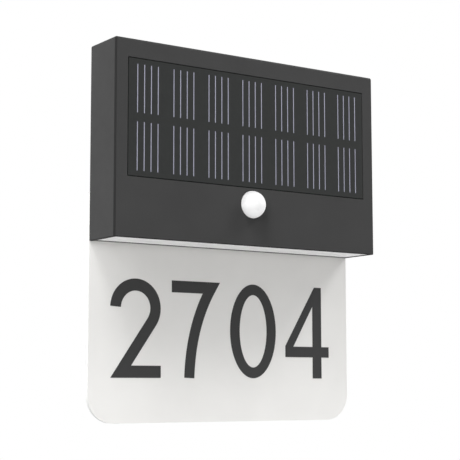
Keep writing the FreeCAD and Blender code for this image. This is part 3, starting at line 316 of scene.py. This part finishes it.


# edge: the rounded edges are painted with shade at half the tone of the faces.
HOUSING_RECIPE = {"colour": (0.051, 0.051, 0.051), "gloss": 0.52, "specular": 0.04, "edge": 0.5}
# The back cover's lower rim is painted with this pale tone, as painted light from the opal cover.
PAINTED_RIM_LIGHT = (0.42, 0.42, 0.41)
COVER_FINISH = moulded("satin_grey_cover", rim=PAINTED_RIM_LIGHT, **HOUSING_RECIPE)
FINISHES = {
    "dark_plastic": moulded("satin_grey_housing", **HOUSING_RECIPE),
    "holder_black": moulded("black_moulding", colour=(0.018, 0.018, 0.018), gloss=0.42),
    "connector_white": moulded("natural_nylon", colour=(0.76, 0.74, 0.68), gloss=0.38, grain_mm=1.0),
    "chip_black": moulded("chip_epoxy", colour=(0.02, 0.02, 0.02), gloss=0.55, grain_mm=0.2),
    "coil_grey": moulded("ferrite", colour=(0.09, 0.09, 0.1), gloss=0.6, grain_mm=0.5),
}
print("moulded finishes:", ", ".join(FINISHES))

# %% [markdown]
# ## Rubber, foam and cable jackets
#
# Soft pieces are duller than the mouldings and have a coarser skin. The same recipe does for them, with
# a rougher surface, a deeper grain and less shine.

# %% Make the soft finishes
FINISHES["button_rubber"] = moulded("button_rubber", colour=(0.022, 0.022, 0.023), gloss=0.72, grain_mm=0.5,
                                    grain_depth_mm=0.012, specular=0.3)
FINISHES["silicone"] = moulded("grey_silicone", colour=(0.42, 0.42, 0.42), gloss=0.6, grain_mm=1.2,
                               grain_depth_mm=0.01, specular=0.4)
FINISHES["cable_black"] = moulded("cable_jacket", colour=(0.02, 0.02, 0.02), gloss=0.55, grain_mm=0.8,
                                  grain_depth_mm=0.01, specular=0.4)
FINISHES["foam_tape"] = moulded("white_foam", colour=(0.74, 0.74, 0.72), gloss=0.9, grain_mm=0.9,
                                grain_depth_mm=0.12, specular=0.2)
print("soft finishes added:", len(FINISHES), "in all")

# %% [markdown]
# ## The frosted plate
#
# The plate is clear acrylic with a frosted skin: it looks milky white, and a little light comes through
# it from behind. Real glass with a rough skin would be slow to trace and grainy. A Translucent shader
# passes light through a thin sheet, and mixing a little of it with an ordinary surface gives the milky
# look for free. The frosting is a fine grain about a third of a millimetre across. The sawn edge gathers
# light from the whole sheet, so it is painted paler than the faces, as painted light: the surface's own
# normal tells the edge from the faces.

# %% Make the frosted acrylic
PLATE_WHITE = (0.880, 0.872, 0.852)
# The sawn edges' paler colour is painted light.
PLATE_EDGE_PAINTED_LIGHT = (0.90, 0.90, 0.885)
PASSES = 0.04


def frosted_acrylic():
    """Milky sheet that passes a little light, with painted light on its sawn edges."""
    material, tree, shader = new_finish("frosted_acrylic", specular_ior_level=0.35)
    faces = cloudy_colour(tree, PLATE_WHITE, size_mm=25, detail=4, darkest=0.985, lightest=1.01)
    frontal = calc(tree, "ABSOLUTE", facing_parts(tree)["Y"])
    is_face = between(tree, frontal, 0, 1, from_low=0.5, from_high=0.9)
    colour = blend_colours(tree, is_face, PLATE_EDGE_PAINTED_LIGHT, faces)
    frost = relief(tree, cloud(tree, size_mm=0.3, detail=3), depth_mm=0.008)
    drive(tree, shader, "Base Color", colour)
    drive(tree, shader, "Roughness", between(tree, cloud(tree, size_mm=3), low=0.5, high=0.6))
    drive(tree, shader, "Normal", frost)
    passing = add_node(tree, "ShaderNodeBsdfTranslucent", color=colour, normal=frost)
    mix = add_node(tree, "ShaderNodeMixShader", fac=PASSES)
    tree.links.new(shader.outputs[0], mix.inputs[1])
    tree.links.new(passing.outputs[0], mix.inputs[2])
    output = next(node for node in tree.nodes if node.type == "OUTPUT_MATERIAL")
    tree.links.new(mix.outputs[0], output.inputs["Surface"])
    return material


FINISHES["frosted_acrylic"] = frosted_acrylic()
print("the plate passes", PASSES, "of its light")

# %% [markdown]
# ## The opal cover
#
# The cover of the light chamber is a milky plastic. Light goes a little way into it and comes out again,
# which softens its shading. Subsurface scattering does that: its scale is how far the light wanders.
# The same recipe makes the milky dome of the sensor.

# %% Make the opal cover
OPAL_WHITE = (0.98, 0.975, 0.97)


def milky(name, colour, gloss, wander_mm):
    """Milky plastic, through which light wanders this far."""
    material, tree, shader = new_finish(name, subsurface_weight=1.0, subsurface_scale=wander_mm * MM,
                                        subsurface_radius=(1, 1, 1), specular_ior_level=0.5)
    tone = cloudy_colour(tree, colour, size_mm=15, detail=3, darkest=0.985, lightest=1.01)
    roughness = between(tree, cloud(tree, size_mm=4), gloss - GLOSS_VARIES, gloss + GLOSS_VARIES)
    drive(tree, shader, "Base Color", tone)
    drive(tree, shader, "Roughness", roughness)
    drive(tree, shader, "Normal", relief(tree, cloud(tree, size_mm=0.5, detail=2), depth_mm=0.003))
    return material, tree, shader


FINISHES["opal_plastic"] = milky("opal_cover", OPAL_WHITE, gloss=0.5, wander_mm=1.5)[0]
print("opal cover:", OPAL_WHITE)

# %% [markdown]
# ## The sensor's dome
#
# The dome is a thin milky cap over a hollow. Light that falls on its top wanders round inside it and
# comes out on its shaded side too, so the real dome looks almost evenly white. Tracing that light would
# be slow and grainy on so small a piece. A painted glow of its own stands for it: strongest at the dome's
# middle, weaker at its rim, weakest on top, where the light goes in, and none where the dome is sunk in
# its hole, where its colour is painted darker too, as painted shade. Its own white is kept low, so that
# the two together come out white. The moulded lens inside the dome shows outside only as faint cells.

# %% Make the dome
DOME_WHITE = (0.42, 0.42, 0.42)
DOME_GLOW_MIDDLE = 0.55
DOME_GLOW_RIM = 0.42
DOME_GLOW_ON_TOP = 0.2
# The sunk part of the dome is painted to this share of its white, as painted shade.
SUNK_PAINTED_SHADE = 0.2
SUNK_FROM = HOUSING_LOW[1] - 0.3 * MM
SUNK_FULLY = HOUSING_LOW[1] + 0.2 * MM
LENS_CELL = 2.2 * MM


def dome_glow(tree, proud):
    """How strong the dome's painted glow is, from the way its surface faces and how proud it stands."""
    facing = facing_parts(tree)
    to_rim = between(tree, facing["Y"], DOME_GLOW_MIDDLE, DOME_GLOW_RIM, from_low=-0.8, from_high=0)
    to_top = between(tree, facing["Z"], 1, DOME_GLOW_ON_TOP, from_low=0, from_high=0.9)
    return calc(tree, "MULTIPLY", proud, calc(tree, "MULTIPLY", to_rim, to_top))


def sensor_dome():
    """The milky dome, its painted glow, painted shade where it is sunk, and faint cells of its lens."""
    material, tree, shader = milky("sensor_dome", DOME_WHITE, gloss=0.45, wander_mm=0.6)
    proud = between(tree, place_parts(tree)["Y"], 1, 0, SUNK_FROM, SUNK_FULLY)
    # Where the dome is sunk in its hole, its colour is painted darker, as painted shade.
    white = blend_colours(tree, proud, shade(DOME_WHITE, SUNK_PAINTED_SHADE), DOME_WHITE)
    cells = add_node(tree, "ShaderNodeTexVoronoi", vector=object_place(tree), scale=1 / LENS_CELL,
                     randomness=0.15)
    drive(tree, shader, "Base Color", white)
    # The glow is painted light that stands for light wandering inside the dome.
    drive(tree, shader, "Emission Strength", dome_glow(tree, proud))
    drive(tree, shader, "Normal", relief(tree, cells.outputs["Distance"], depth_mm=0.02))
    return material


FINISHES["lens_white"] = sensor_dome()
print("milky finishes added:", len(FINISHES), "in all")

# %% [markdown]
# ## The solar panel's face
#
# Under a clear glossy layer lie dark silicon cells on a dark sheet. A Coat on the shader is such a clear
# layer: it has its own gloss over whatever lies under it. The cells are only a shade bluer than the
# sheet between them, and their grid is worked out from the place on the panel.

# %% Make the panel's face
CELL_COLUMNS = 7
CELL_ROWS = 2
CELL_PITCH = 29.63 * MM
CELL_ROW_PITCH = 40.7 * MM
CELL_WIDTH = 28.4 * MM
CELL_HEIGHT = 38.6 * MM
CELL_DARKEST = (0.0165, 0.0180, 0.0175)
CELL_LIGHTEST = (0.0195, 0.0210, 0.0205)
SHEET_COLOUR = (0.0180, 0.0195, 0.0185)
COAT_GLOSS = 0.12
PANEL_MIDDLE = (Vector(PANEL_LOW) + Vector(PANEL_HIGH)) / 2


def inside_cells(tree, along, middle, pitch, count, width):
    """1 where the place along one axis lies in a cell, 0 between cells."""
    start = calc(tree, "SUBTRACT", along, middle - count * pitch / 2)
    share = calc(tree, "FRACT", calc(tree, "DIVIDE", start, pitch))
    off_middle = calc(tree, "ABSOLUTE", calc(tree, "SUBTRACT", share, 0.5))
    return calc(tree, "LESS_THAN", off_middle, width / pitch / 2)


def panel_face():
    """Dark cells on a dark sheet under a clear layer."""
    material, tree, shader = new_finish("panel_face", coat_weight=1.0, coat_roughness=COAT_GLOSS,
                                        coat_ior=1.33, specular_ior_level=0.0)
    place = place_parts(tree)
    columns = inside_cells(tree, place["X"], PANEL_MIDDLE.x, CELL_PITCH, CELL_COLUMNS, CELL_WIDTH)
    rows = inside_cells(tree, place["Z"], PANEL_MIDDLE.z, CELL_ROW_PITCH, CELL_ROWS, CELL_HEIGHT)
    crystal = between(tree, cloud(tree, size_mm=4, detail=5), 0, 1)
    silicon = blend_colours(tree, crystal, CELL_DARKEST, CELL_LIGHTEST)
    face = blend_colours(tree, calc(tree, "MULTIPLY", columns, rows), SHEET_COLOUR, silicon)
    drive(tree, shader, "Base Color", face)
    drive(tree, shader, "Roughness", between(tree, cloud(tree, size_mm=10), low=0.4, high=0.5))
    drive(tree, shader, "Coat Normal", relief(tree, cloud(tree, size_mm=12, detail=2), depth_mm=0.01))
    return material


FINISHES["solar_glaze"] = panel_face()
FINISHES["silicon"] = moulded("silicon_wafer", colour=(0.012, 0.014, 0.02), gloss=0.3, grain_mm=4.0,
                              grain_depth_mm=0.002)
print("panel face:", CELL_COLUMNS * CELL_ROWS, "cells")

# %% [markdown]
# ## Metal
#
# Screws and contacts are bright plated steel. Metal has no colour of its own under the shine, so its
# tone is in the base colour and its age in the roughness. A fine cloud, squeezed along one axis, stands
# for the marks of drawing and catches the light.


# %% Make the metals
def plated(name, colour, gloss):
    """Plated metal with a fine drawn grain."""
    material, tree, shader = new_finish(name, metallic=1.0)
    tone = cloudy_colour(tree, colour, size_mm=3, detail=4, darkest=0.9, lightest=1.05)
    drawn = cloud(tree, size_mm=0.4, stretch=(1, 8, 1))
    drive(tree, shader, "Base Color", tone)
    drive(tree, shader, "Roughness", between(tree, cloud(tree, size_mm=0.6), gloss - 0.06, gloss + 0.1))
    drive(tree, shader, "Normal", relief(tree, drawn, depth_mm=0.004))
    return material


FINISHES["steel"] = plated("zinc_plated_steel", colour=(0.62, 0.62, 0.61), gloss=0.3)
FINISHES["contact_metal"] = plated("nickel_contact", colour=(0.66, 0.63, 0.57), gloss=0.25)
FINISHES["sensor_can"] = plated("nickel_can", colour=(0.6, 0.58, 0.54), gloss=0.32)
print("metals added:", len(FINISHES), "in all")

# %% [markdown]
# ## Circuit boards, sleeves and light-emitting diodes
#
# None of these show while the light is closed, but each is a real piece, so each gets its own finish.
# The boards carry a glossy solder mask over the faint relief of their copper tracks, which a brick
# pattern stands for.

# %% Make the finishes inside
TRACK_SIZE = 6 * MM
TRACK_GAP = 0.06


def solder_mask(name, colour):
    """A board's glossy skin over faint copper tracks."""
    material, tree, shader = new_finish(name, coat_weight=0.3, coat_roughness=0.15, roughness=0.35)
    bricks = add_node(tree, "ShaderNodeTexBrick", vector=object_place(tree), scale=1 / TRACK_SIZE,
                      mortar_size=TRACK_GAP)
    tracks = bricks.outputs["Fac"]
    drive(tree, shader, "Base Color", blend_colours(tree, tracks, shade(colour, 1.15), shade(colour, 0.85)))
    drive(tree, shader, "Normal", relief(tree, tracks, depth_mm=0.03))
    return material


FINISHES["circuit_board"] = solder_mask("green_solder_mask", colour=(0.02, 0.13, 0.055))
FINISHES["led_board_white"] = solder_mask("white_solder_mask", colour=(0.8, 0.8, 0.79))
FINISHES["led_phosphor"] = moulded("led_phosphor", colour=(0.85, 0.72, 0.2), gloss=0.35, grain_mm=0.6)
FINISHES["battery_sleeve"] = moulded("battery_sleeve", colour=(0.03, 0.14, 0.36), gloss=0.28, grain_mm=2.0)
FINISHES["capacitor_sleeve"] = moulded("capacitor_sleeve", colour=(0.02, 0.03, 0.08), gloss=0.3,
                                       grain_mm=1.0)
print("finishes in all:", len(FINISHES))

# %% [markdown]
# ## Giving every piece its finish
#
# The record of the construction names a finish for each piece. Each piece keeps its own shape, and only
# the material in its slots is exchanged. The back cover has a finish of its own, for painted light on its
# rim.

# %% Assign the finishes
slot_of = {part["node"]: part["material_slot"] for part in frame["record"]["subparts"]}
for node_name, piece in frame["nodes"].items():
    for material_slot in piece.material_slots:
        material_slot.material = COVER_FINISH if node_name == "back_cover" else FINISHES[slot_of[node_name]]
print("finished", len(slot_of), "pieces with", len(set(slot_of.values())), "finishes")

# %% [markdown]
# ## The silver lines of the cells
#
# Each cell carries four printed silver lines that gather its current. They are the brightest marks on
# the panel. A line pattern in the panel's material would blur at this size, so they are thin strips of
# real shape, lying on the face, and one mesh holds all of them, because they are one print.

# %% Print the silver lines
LINE_WIDTH = 0.62 * MM
LINE_LENGTH = 34.3 * MM
LINE_PITCH = 5.56 * MM
LINES_PER_CELL = 4
LINE_THICKNESS = 0.05 * MM
SILVER = (0.31, 0.31, 0.40)


def add_block(mesh, low, high):
    """A closed block between two corners, added to a mesh being built."""
    made = bmesh.ops.create_cube(mesh, size=1.0)
    size = high - low
    middle = (low + high) / 2
    for vertex in made["verts"]:
        vertex.co = Vector(c * s + m for c, s, m in zip(vertex.co, size, middle))


def piece_from(mesh, name, finish):
    """A finished piece of the light, from a mesh being built."""
    data = bpy.data.meshes.new(name)
    mesh.to_mesh(data)
    mesh.free()
    data.materials.append(finish)
    piece = bpy.data.objects.new(name, data)
    bpy.context.scene.collection.objects.link(piece)
    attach(piece, BODY)
    return piece


def printed_silver():
    """Silver paste under the panel's clear layer."""
    material, tree, shader = new_finish("printed_silver", metallic=0.2, specular_ior_level=0.4,
                                        coat_weight=1.0, coat_roughness=COAT_GLOSS)
    tone = cloudy_colour(tree, SILVER, size_mm=2, detail=4, darkest=0.93, lightest=1.05)
    drive(tree, shader, "Base Color", tone)
    drive(tree, shader, "Roughness", between(tree, cloud(tree, size_mm=0.3), low=0.45, high=0.6))
    drive(tree, shader, "Normal", relief(tree, cloud(tree, size_mm=0.15, detail=2), depth_mm=0.01))
    return material


def silver_lines():
    """Four upright lines on each cell, as one piece."""
    mesh = bmesh.new()
    for column in range(CELL_COLUMNS):
        for row in range(CELL_ROWS):
            for line in range(LINES_PER_CELL):
                across = PANEL_MIDDLE.x + (column - (CELL_COLUMNS - 1) / 2) * CELL_PITCH
                across += (line - (LINES_PER_CELL - 1) / 2) * LINE_PITCH
                up = PANEL_MIDDLE.z + (row - (CELL_ROWS - 1) / 2) * CELL_ROW_PITCH
                low = Vector((across - LINE_WIDTH / 2, PANEL_LOW[1] - LINE_THICKNESS, up - LINE_LENGTH / 2))
                high = Vector((across + LINE_WIDTH / 2, PANEL_LOW[1], up + LINE_LENGTH / 2))
                add_block(mesh, low, high)
    return piece_from(mesh, "silver_lines", printed_silver())


FACES_OF_BLOCK = 6
print("silver lines:", len(silver_lines().data.polygons) // FACES_OF_BLOCK)

# %% [markdown]
# ## The strokes of the number
#
# The number is cut from dark self-adhesive film, in the plain even strokes of a sign maker's digits.
# Such a digit is a band of one width, so it is drawn as a line first, from straight runs, parts of
# ellipses and a bend. The band's two edges follow that line on both sides, and their corners meet in
# a mitre.

# %% Draw the strokes
DIGIT_WIDTH = 42.0 * MM
DIGIT_HEIGHT = 70.3 * MM
STROKE = 8.6 * MM
ARC_STEP = 5
BEND_STEPS = 16


def spot(across, up):
    """A place in the digit's box, in millimetres from its lower left corner."""
    return Vector((across, up)) * MM


def oval(middle, reach, start, end):
    """Places along an ellipse, from one angle to another in degrees."""
    count = round(abs(end - start) / ARC_STEP)
    angles = [math.radians(start + (end - start) * i / count) for i in range(count + 1)]
    return [middle + Vector((reach.x * math.cos(a), reach.y * math.sin(a))) for a in angles]


def bend(start, pull, end):
    """Places along a curve that leaves start and reaches end with the line through pull."""
    shares = [i / BEND_STEPS for i in range(BEND_STEPS + 1)]
    return [start * (1 - t) ** 2 + pull * 2 * t * (1 - t) + end * t ** 2 for t in shares]


def band(line):
    """The outline of a stroke along a line, with mitred corners."""
    runs = [(end - start).normalized() for start, end in zip(line, line[1:])]
    left, right = [], []
    for place, before, after in zip(line, [runs[0]] + runs, runs + [runs[-1]]):
        across = (before.orthogonal() + after.orthogonal()).normalized()
        reach = STROKE / 2 / across.dot(before.orthogonal())
        left.append(place + across * reach)
        right.append(place - across * reach)
    return left + right[::-1]


print("a stroke is", STROKE / MM, "mm wide")

# %% [markdown]
# ## The four digits
#
# Any plain number would do here, so each digit is drawn from its own few measures, in millimetres.
# A two and a seven are one band each. A zero and a four enclose a hole, so each has an outer and an
# inner outline instead. Their level strokes are a little thinner than the upright ones, as a sign maker
# draws them, because a level stroke looks heavier than an upright one of the same width.

# %% Draw the digits
WIDE = DIGIT_WIDTH / MM
TALL = DIGIT_HEIGHT / MM
UPRIGHT = STROKE / MM
LEVEL_IS_THINNER_BY = 0.6
LEVEL = UPRIGHT - LEVEL_IS_THINNER_BY
HALF = UPRIGHT / 2


def two():
    """A bowl that runs down into a slanting stroke, on a flat foot."""
    bowl_up = 49.4
    bowl_reach = 16.4
    foot_start = 9.2
    reach = spot(bowl_reach, TALL - HALF - bowl_up)
    bowl = oval(spot(WIDE / 2, bowl_up), reach, start=178, end=-36)
    return [band(bowl + [spot(foot_start, HALF), spot(WIDE, HALF)])]


def seven():
    """A flat top, and a leg that bends down from its corner."""
    corner = spot(34.3, TALL - HALF)
    pull = spot(16.5, 38)
    foot = spot(15.2, 0)
    return [band([spot(0, TALL - HALF)] + bend(corner, pull, foot))]


def zero():
    """An oval ring."""
    middle = spot(WIDE / 2, TALL / 2)
    outer = oval(middle, middle, start=0, end=360)
    inner = oval(middle, middle - spot(UPRIGHT, LEVEL), start=0, end=360)
    return [outer[:-1], inner[:-1]]


def four():
    """A stem, a bar across it, and a slant that joins their ends round a three-cornered hole."""
    stem = 26.2
    stem_end = stem + UPRIGHT
    bar = 16.2
    bar_top = bar + LEVEL
    slant_top = 28.0
    slant_foot = bar_top + 0.4
    hole_top = 55.4
    hole_start = 7.6
    outer = [(stem, 0), (stem_end, 0), (stem_end, bar), (WIDE, bar), (WIDE, bar_top), (stem_end, bar_top),
             (stem_end, TALL), (slant_top, TALL), (0, slant_foot), (0, bar), (stem, bar)]
    inner = [(stem, bar_top), (stem, hole_top), (hole_start, bar_top)]
    return [[spot(*place) for place in outline] for outline in (outer, inner)]


DIGITS = [two(), seven(), zero(), four()]
print("digits drawn:", len(DIGITS))

# %% [markdown]
# ## The film on the plate
#
# A flat curve fills an outline and leaves its holes open, so each digit is such a curve with the film's
# thickness. It is turned into a mesh, stood upright and laid against the plate's front. Each digit is
# a piece of its own, as the film is stuck on in single pieces.

# %% Stick the digits on the plate
DIGIT_FOOT = PLATE_LOW[2] + 31.8 * MM
FIRST_DIGIT = HOUSING_LOW[0] + 37.8 * MM
DIGIT_PITCH = 51.05 * MM
FILM_THICKNESS = 0.15 * MM
SAME_PLACE = 0.001 * MM


def film_shape(outlines):
    """The outlines as a sheet of film that stands upright."""
    sheet = bpy.data.curves.new("digit", "CURVE")
    sheet.dimensions = "2D"
    sheet.fill_mode = "BOTH"
    sheet.extrude = FILM_THICKNESS / 2
    for outline in outlines:
        spline = sheet.splines.new("POLY")
        spline.points.add(len(outline) - 1)
        spline.use_cyclic_u = True
        for point, place in zip(spline.points, outline):
            point.co = (place.x, place.y, 0, 1)
    holder = bpy.data.objects.new("digit", sheet)
    shape = bpy.data.meshes.new_from_object(holder)
    bpy.data.objects.remove(holder)
    mesh = bmesh.new()
    mesh.from_mesh(shape)
    bmesh.ops.remove_doubles(mesh, verts=mesh.verts, dist=SAME_PLACE)
    bmesh.ops.rotate(mesh, verts=mesh.verts, matrix=Matrix.Rotation(math.pi / 2, 3, "X"))
    return mesh


film = moulded("number_film", colour=(0.036, 0.036, 0.036), gloss=0.5, grain_mm=0.5, grain_depth_mm=0.004,
               specular=0.25)
for count, outlines in enumerate(DIGITS):
    mesh = film_shape(outlines)
    left = FIRST_DIGIT + count * DIGIT_PITCH - DIGIT_WIDTH / 2
    bmesh.ops.translate(mesh, verts=mesh.verts, vec=(left, PLATE_LOW[1] - FILM_THICKNESS / 2, DIGIT_FOOT))
    piece_from(mesh, f"digit_{count + 1}", film)
print("the number is", len(DIGITS), "pieces of film")

# %% [markdown]
# ## The studio's walls
#
# The light hangs in a bright, even studio. The World shader is what lies all round a scene. It gives
# only a faint light, so that the lamps decide where shadows fall, but the camera, and anything glossy
# or clear, sees plain white there. The Light Path node tells the two kinds of ray apart.

# %% Light the studio from all round
ALL_ROUND_STRENGTH = 0.15
WHITE = (1, 1, 1, 1)


def studio_world():
    """Faint light from all round, and plain white to look at."""
    world = bpy.data.worlds.new("studio")
    world.use_nodes = True
    tree = world.node_tree
    tree.nodes.clear()
    faint = add_node(tree, "ShaderNodeBackground", color=WHITE, strength=ALL_ROUND_STRENGTH)
    bright = add_node(tree, "ShaderNodeBackground", color=WHITE, strength=1.0)
    path = tree.nodes.new("ShaderNodeLightPath")
    seen = calc(tree, "MAXIMUM", path.outputs["Is Camera Ray"], path.outputs["Is Glossy Ray"])
    seen = calc(tree, "MAXIMUM", seen, path.outputs["Is Transmission Ray"])
    mix = add_node(tree, "ShaderNodeMixShader", fac=seen)
    tree.links.new(faint.outputs[0], mix.inputs[1])
    tree.links.new(bright.outputs[0], mix.inputs[2])
    output = tree.nodes.new("ShaderNodeOutputWorld")
    tree.links.new(mix.outputs[0], output.inputs["Surface"])
    return world


bpy.context.scene.world = studio_world()
print("the world gives", ALL_ROUND_STRENGTH, "of full light")

# %% [markdown]
# ## The lamps
#
# Below the housing the plate shows one soft shadow, pale at both ends and darkest in the middle. A single
# large lamp would cast an edge there. Soft lamps stand one above the other on both sides instead: each
# casts its own shadow at its own slant, and together they blend into one gradient. Each was lit alone
# first, to see what it gives, and the strengths were weighed from that, in steps of five watts. One more
# lamp opens up the back. All are far enough away to light the floor as evenly as the sign.

# %% Place the lamps
LAMP_AIM = Vector((0, -0.02, -0.1))
LAMP_REACH = 4.0
# Each lamp: name, degrees round from the front, degrees above the horizon, size in metres, watts.
LAMPS = (
    ("left_low_lamp", -60, 15, 1.6, 50),
    ("left_middle_lamp", -60, 32, 1.4, 35),
    ("left_high_lamp", -60, 55, 1.4, 65),
    ("left_top_lamp", -60, 65, 1.4, 75),
    ("left_front_lamp", -45, 68, 1.4, 20),
    ("right_high_lamp", 66, 54, 1.4, 50),
    ("right_middle_lamp", 74, 44, 1.4, 90),
    ("right_low_lamp", 80, 20, 1.4, 15),
    ("back_lamp", 180, 15, 3.0, 60),
)


def place_round(side, height):
    """A place round the light, from an angle sideways off its front and an angle above the horizon."""
    flat = LAMP_REACH * math.cos(math.radians(height))
    sideways = math.radians(side)
    up = LAMP_REACH * math.sin(math.radians(height))
    return LAMP_AIM + Vector((math.sin(sideways) * flat, -math.cos(sideways) * flat, up))


def soft_lamp(name, place, size, power):
    """A square soft lamp that points at the light."""
    lamp = bpy.data.lights.new(name, "AREA")
    lamp.shape = "SQUARE"
    lamp.size = size
    lamp.energy = power
    holder = bpy.data.objects.new(name, lamp)
    holder.location = place
    holder.rotation_euler = (place - LAMP_AIM).to_track_quat("Z", "Y").to_euler()
    bpy.context.scene.collection.objects.link(holder)


for name, side, height, size, watts in LAMPS:
    soft_lamp(name, place_round(side, height), size, watts)
print(len(LAMPS), "lamps lit")

# %% [markdown]
# ## The floor
#
# A plain pale floor lies half a metre below the light. It catches the soft shadows in the views from
# above, and a faint cloud in its paint keeps it from looking empty.

# %% Lay the floor
FLOOR_DROP = 0.5
FLOOR_HALF = 3.0
FLOOR_COLOUR = (0.47, 0.47, 0.47)


def lay_floor():
    """A square of painted floor below the light. Returns its level."""
    mesh = bmesh.new()
    level = CAD_BOX[0][2] - FLOOR_DROP
    corners = ((-1, -1), (1, -1), (1, 1), (-1, 1))
    mesh.faces.new([mesh.verts.new((x * FLOOR_HALF, y * FLOOR_HALF, level)) for x, y in corners])
    data = bpy.data.meshes.new("floor")
    mesh.to_mesh(data)
    mesh.free()
    material, tree, shader = new_finish("floor_paint", roughness=0.9, specular_ior_level=0.1)
    paint = between(tree, cloud(tree, size_mm=300), 0, 1)
    drive(tree, shader, "Base Color", blend_colours(tree, paint, FLOOR_COLOUR, shade(FLOOR_COLOUR, 1.02)))
    data.materials.append(material)
    floor = bpy.data.objects.new("floor", data)
    bpy.context.scene.collection.objects.link(floor)
    return level


print("floor at", round(lay_floor(), 3), "m")
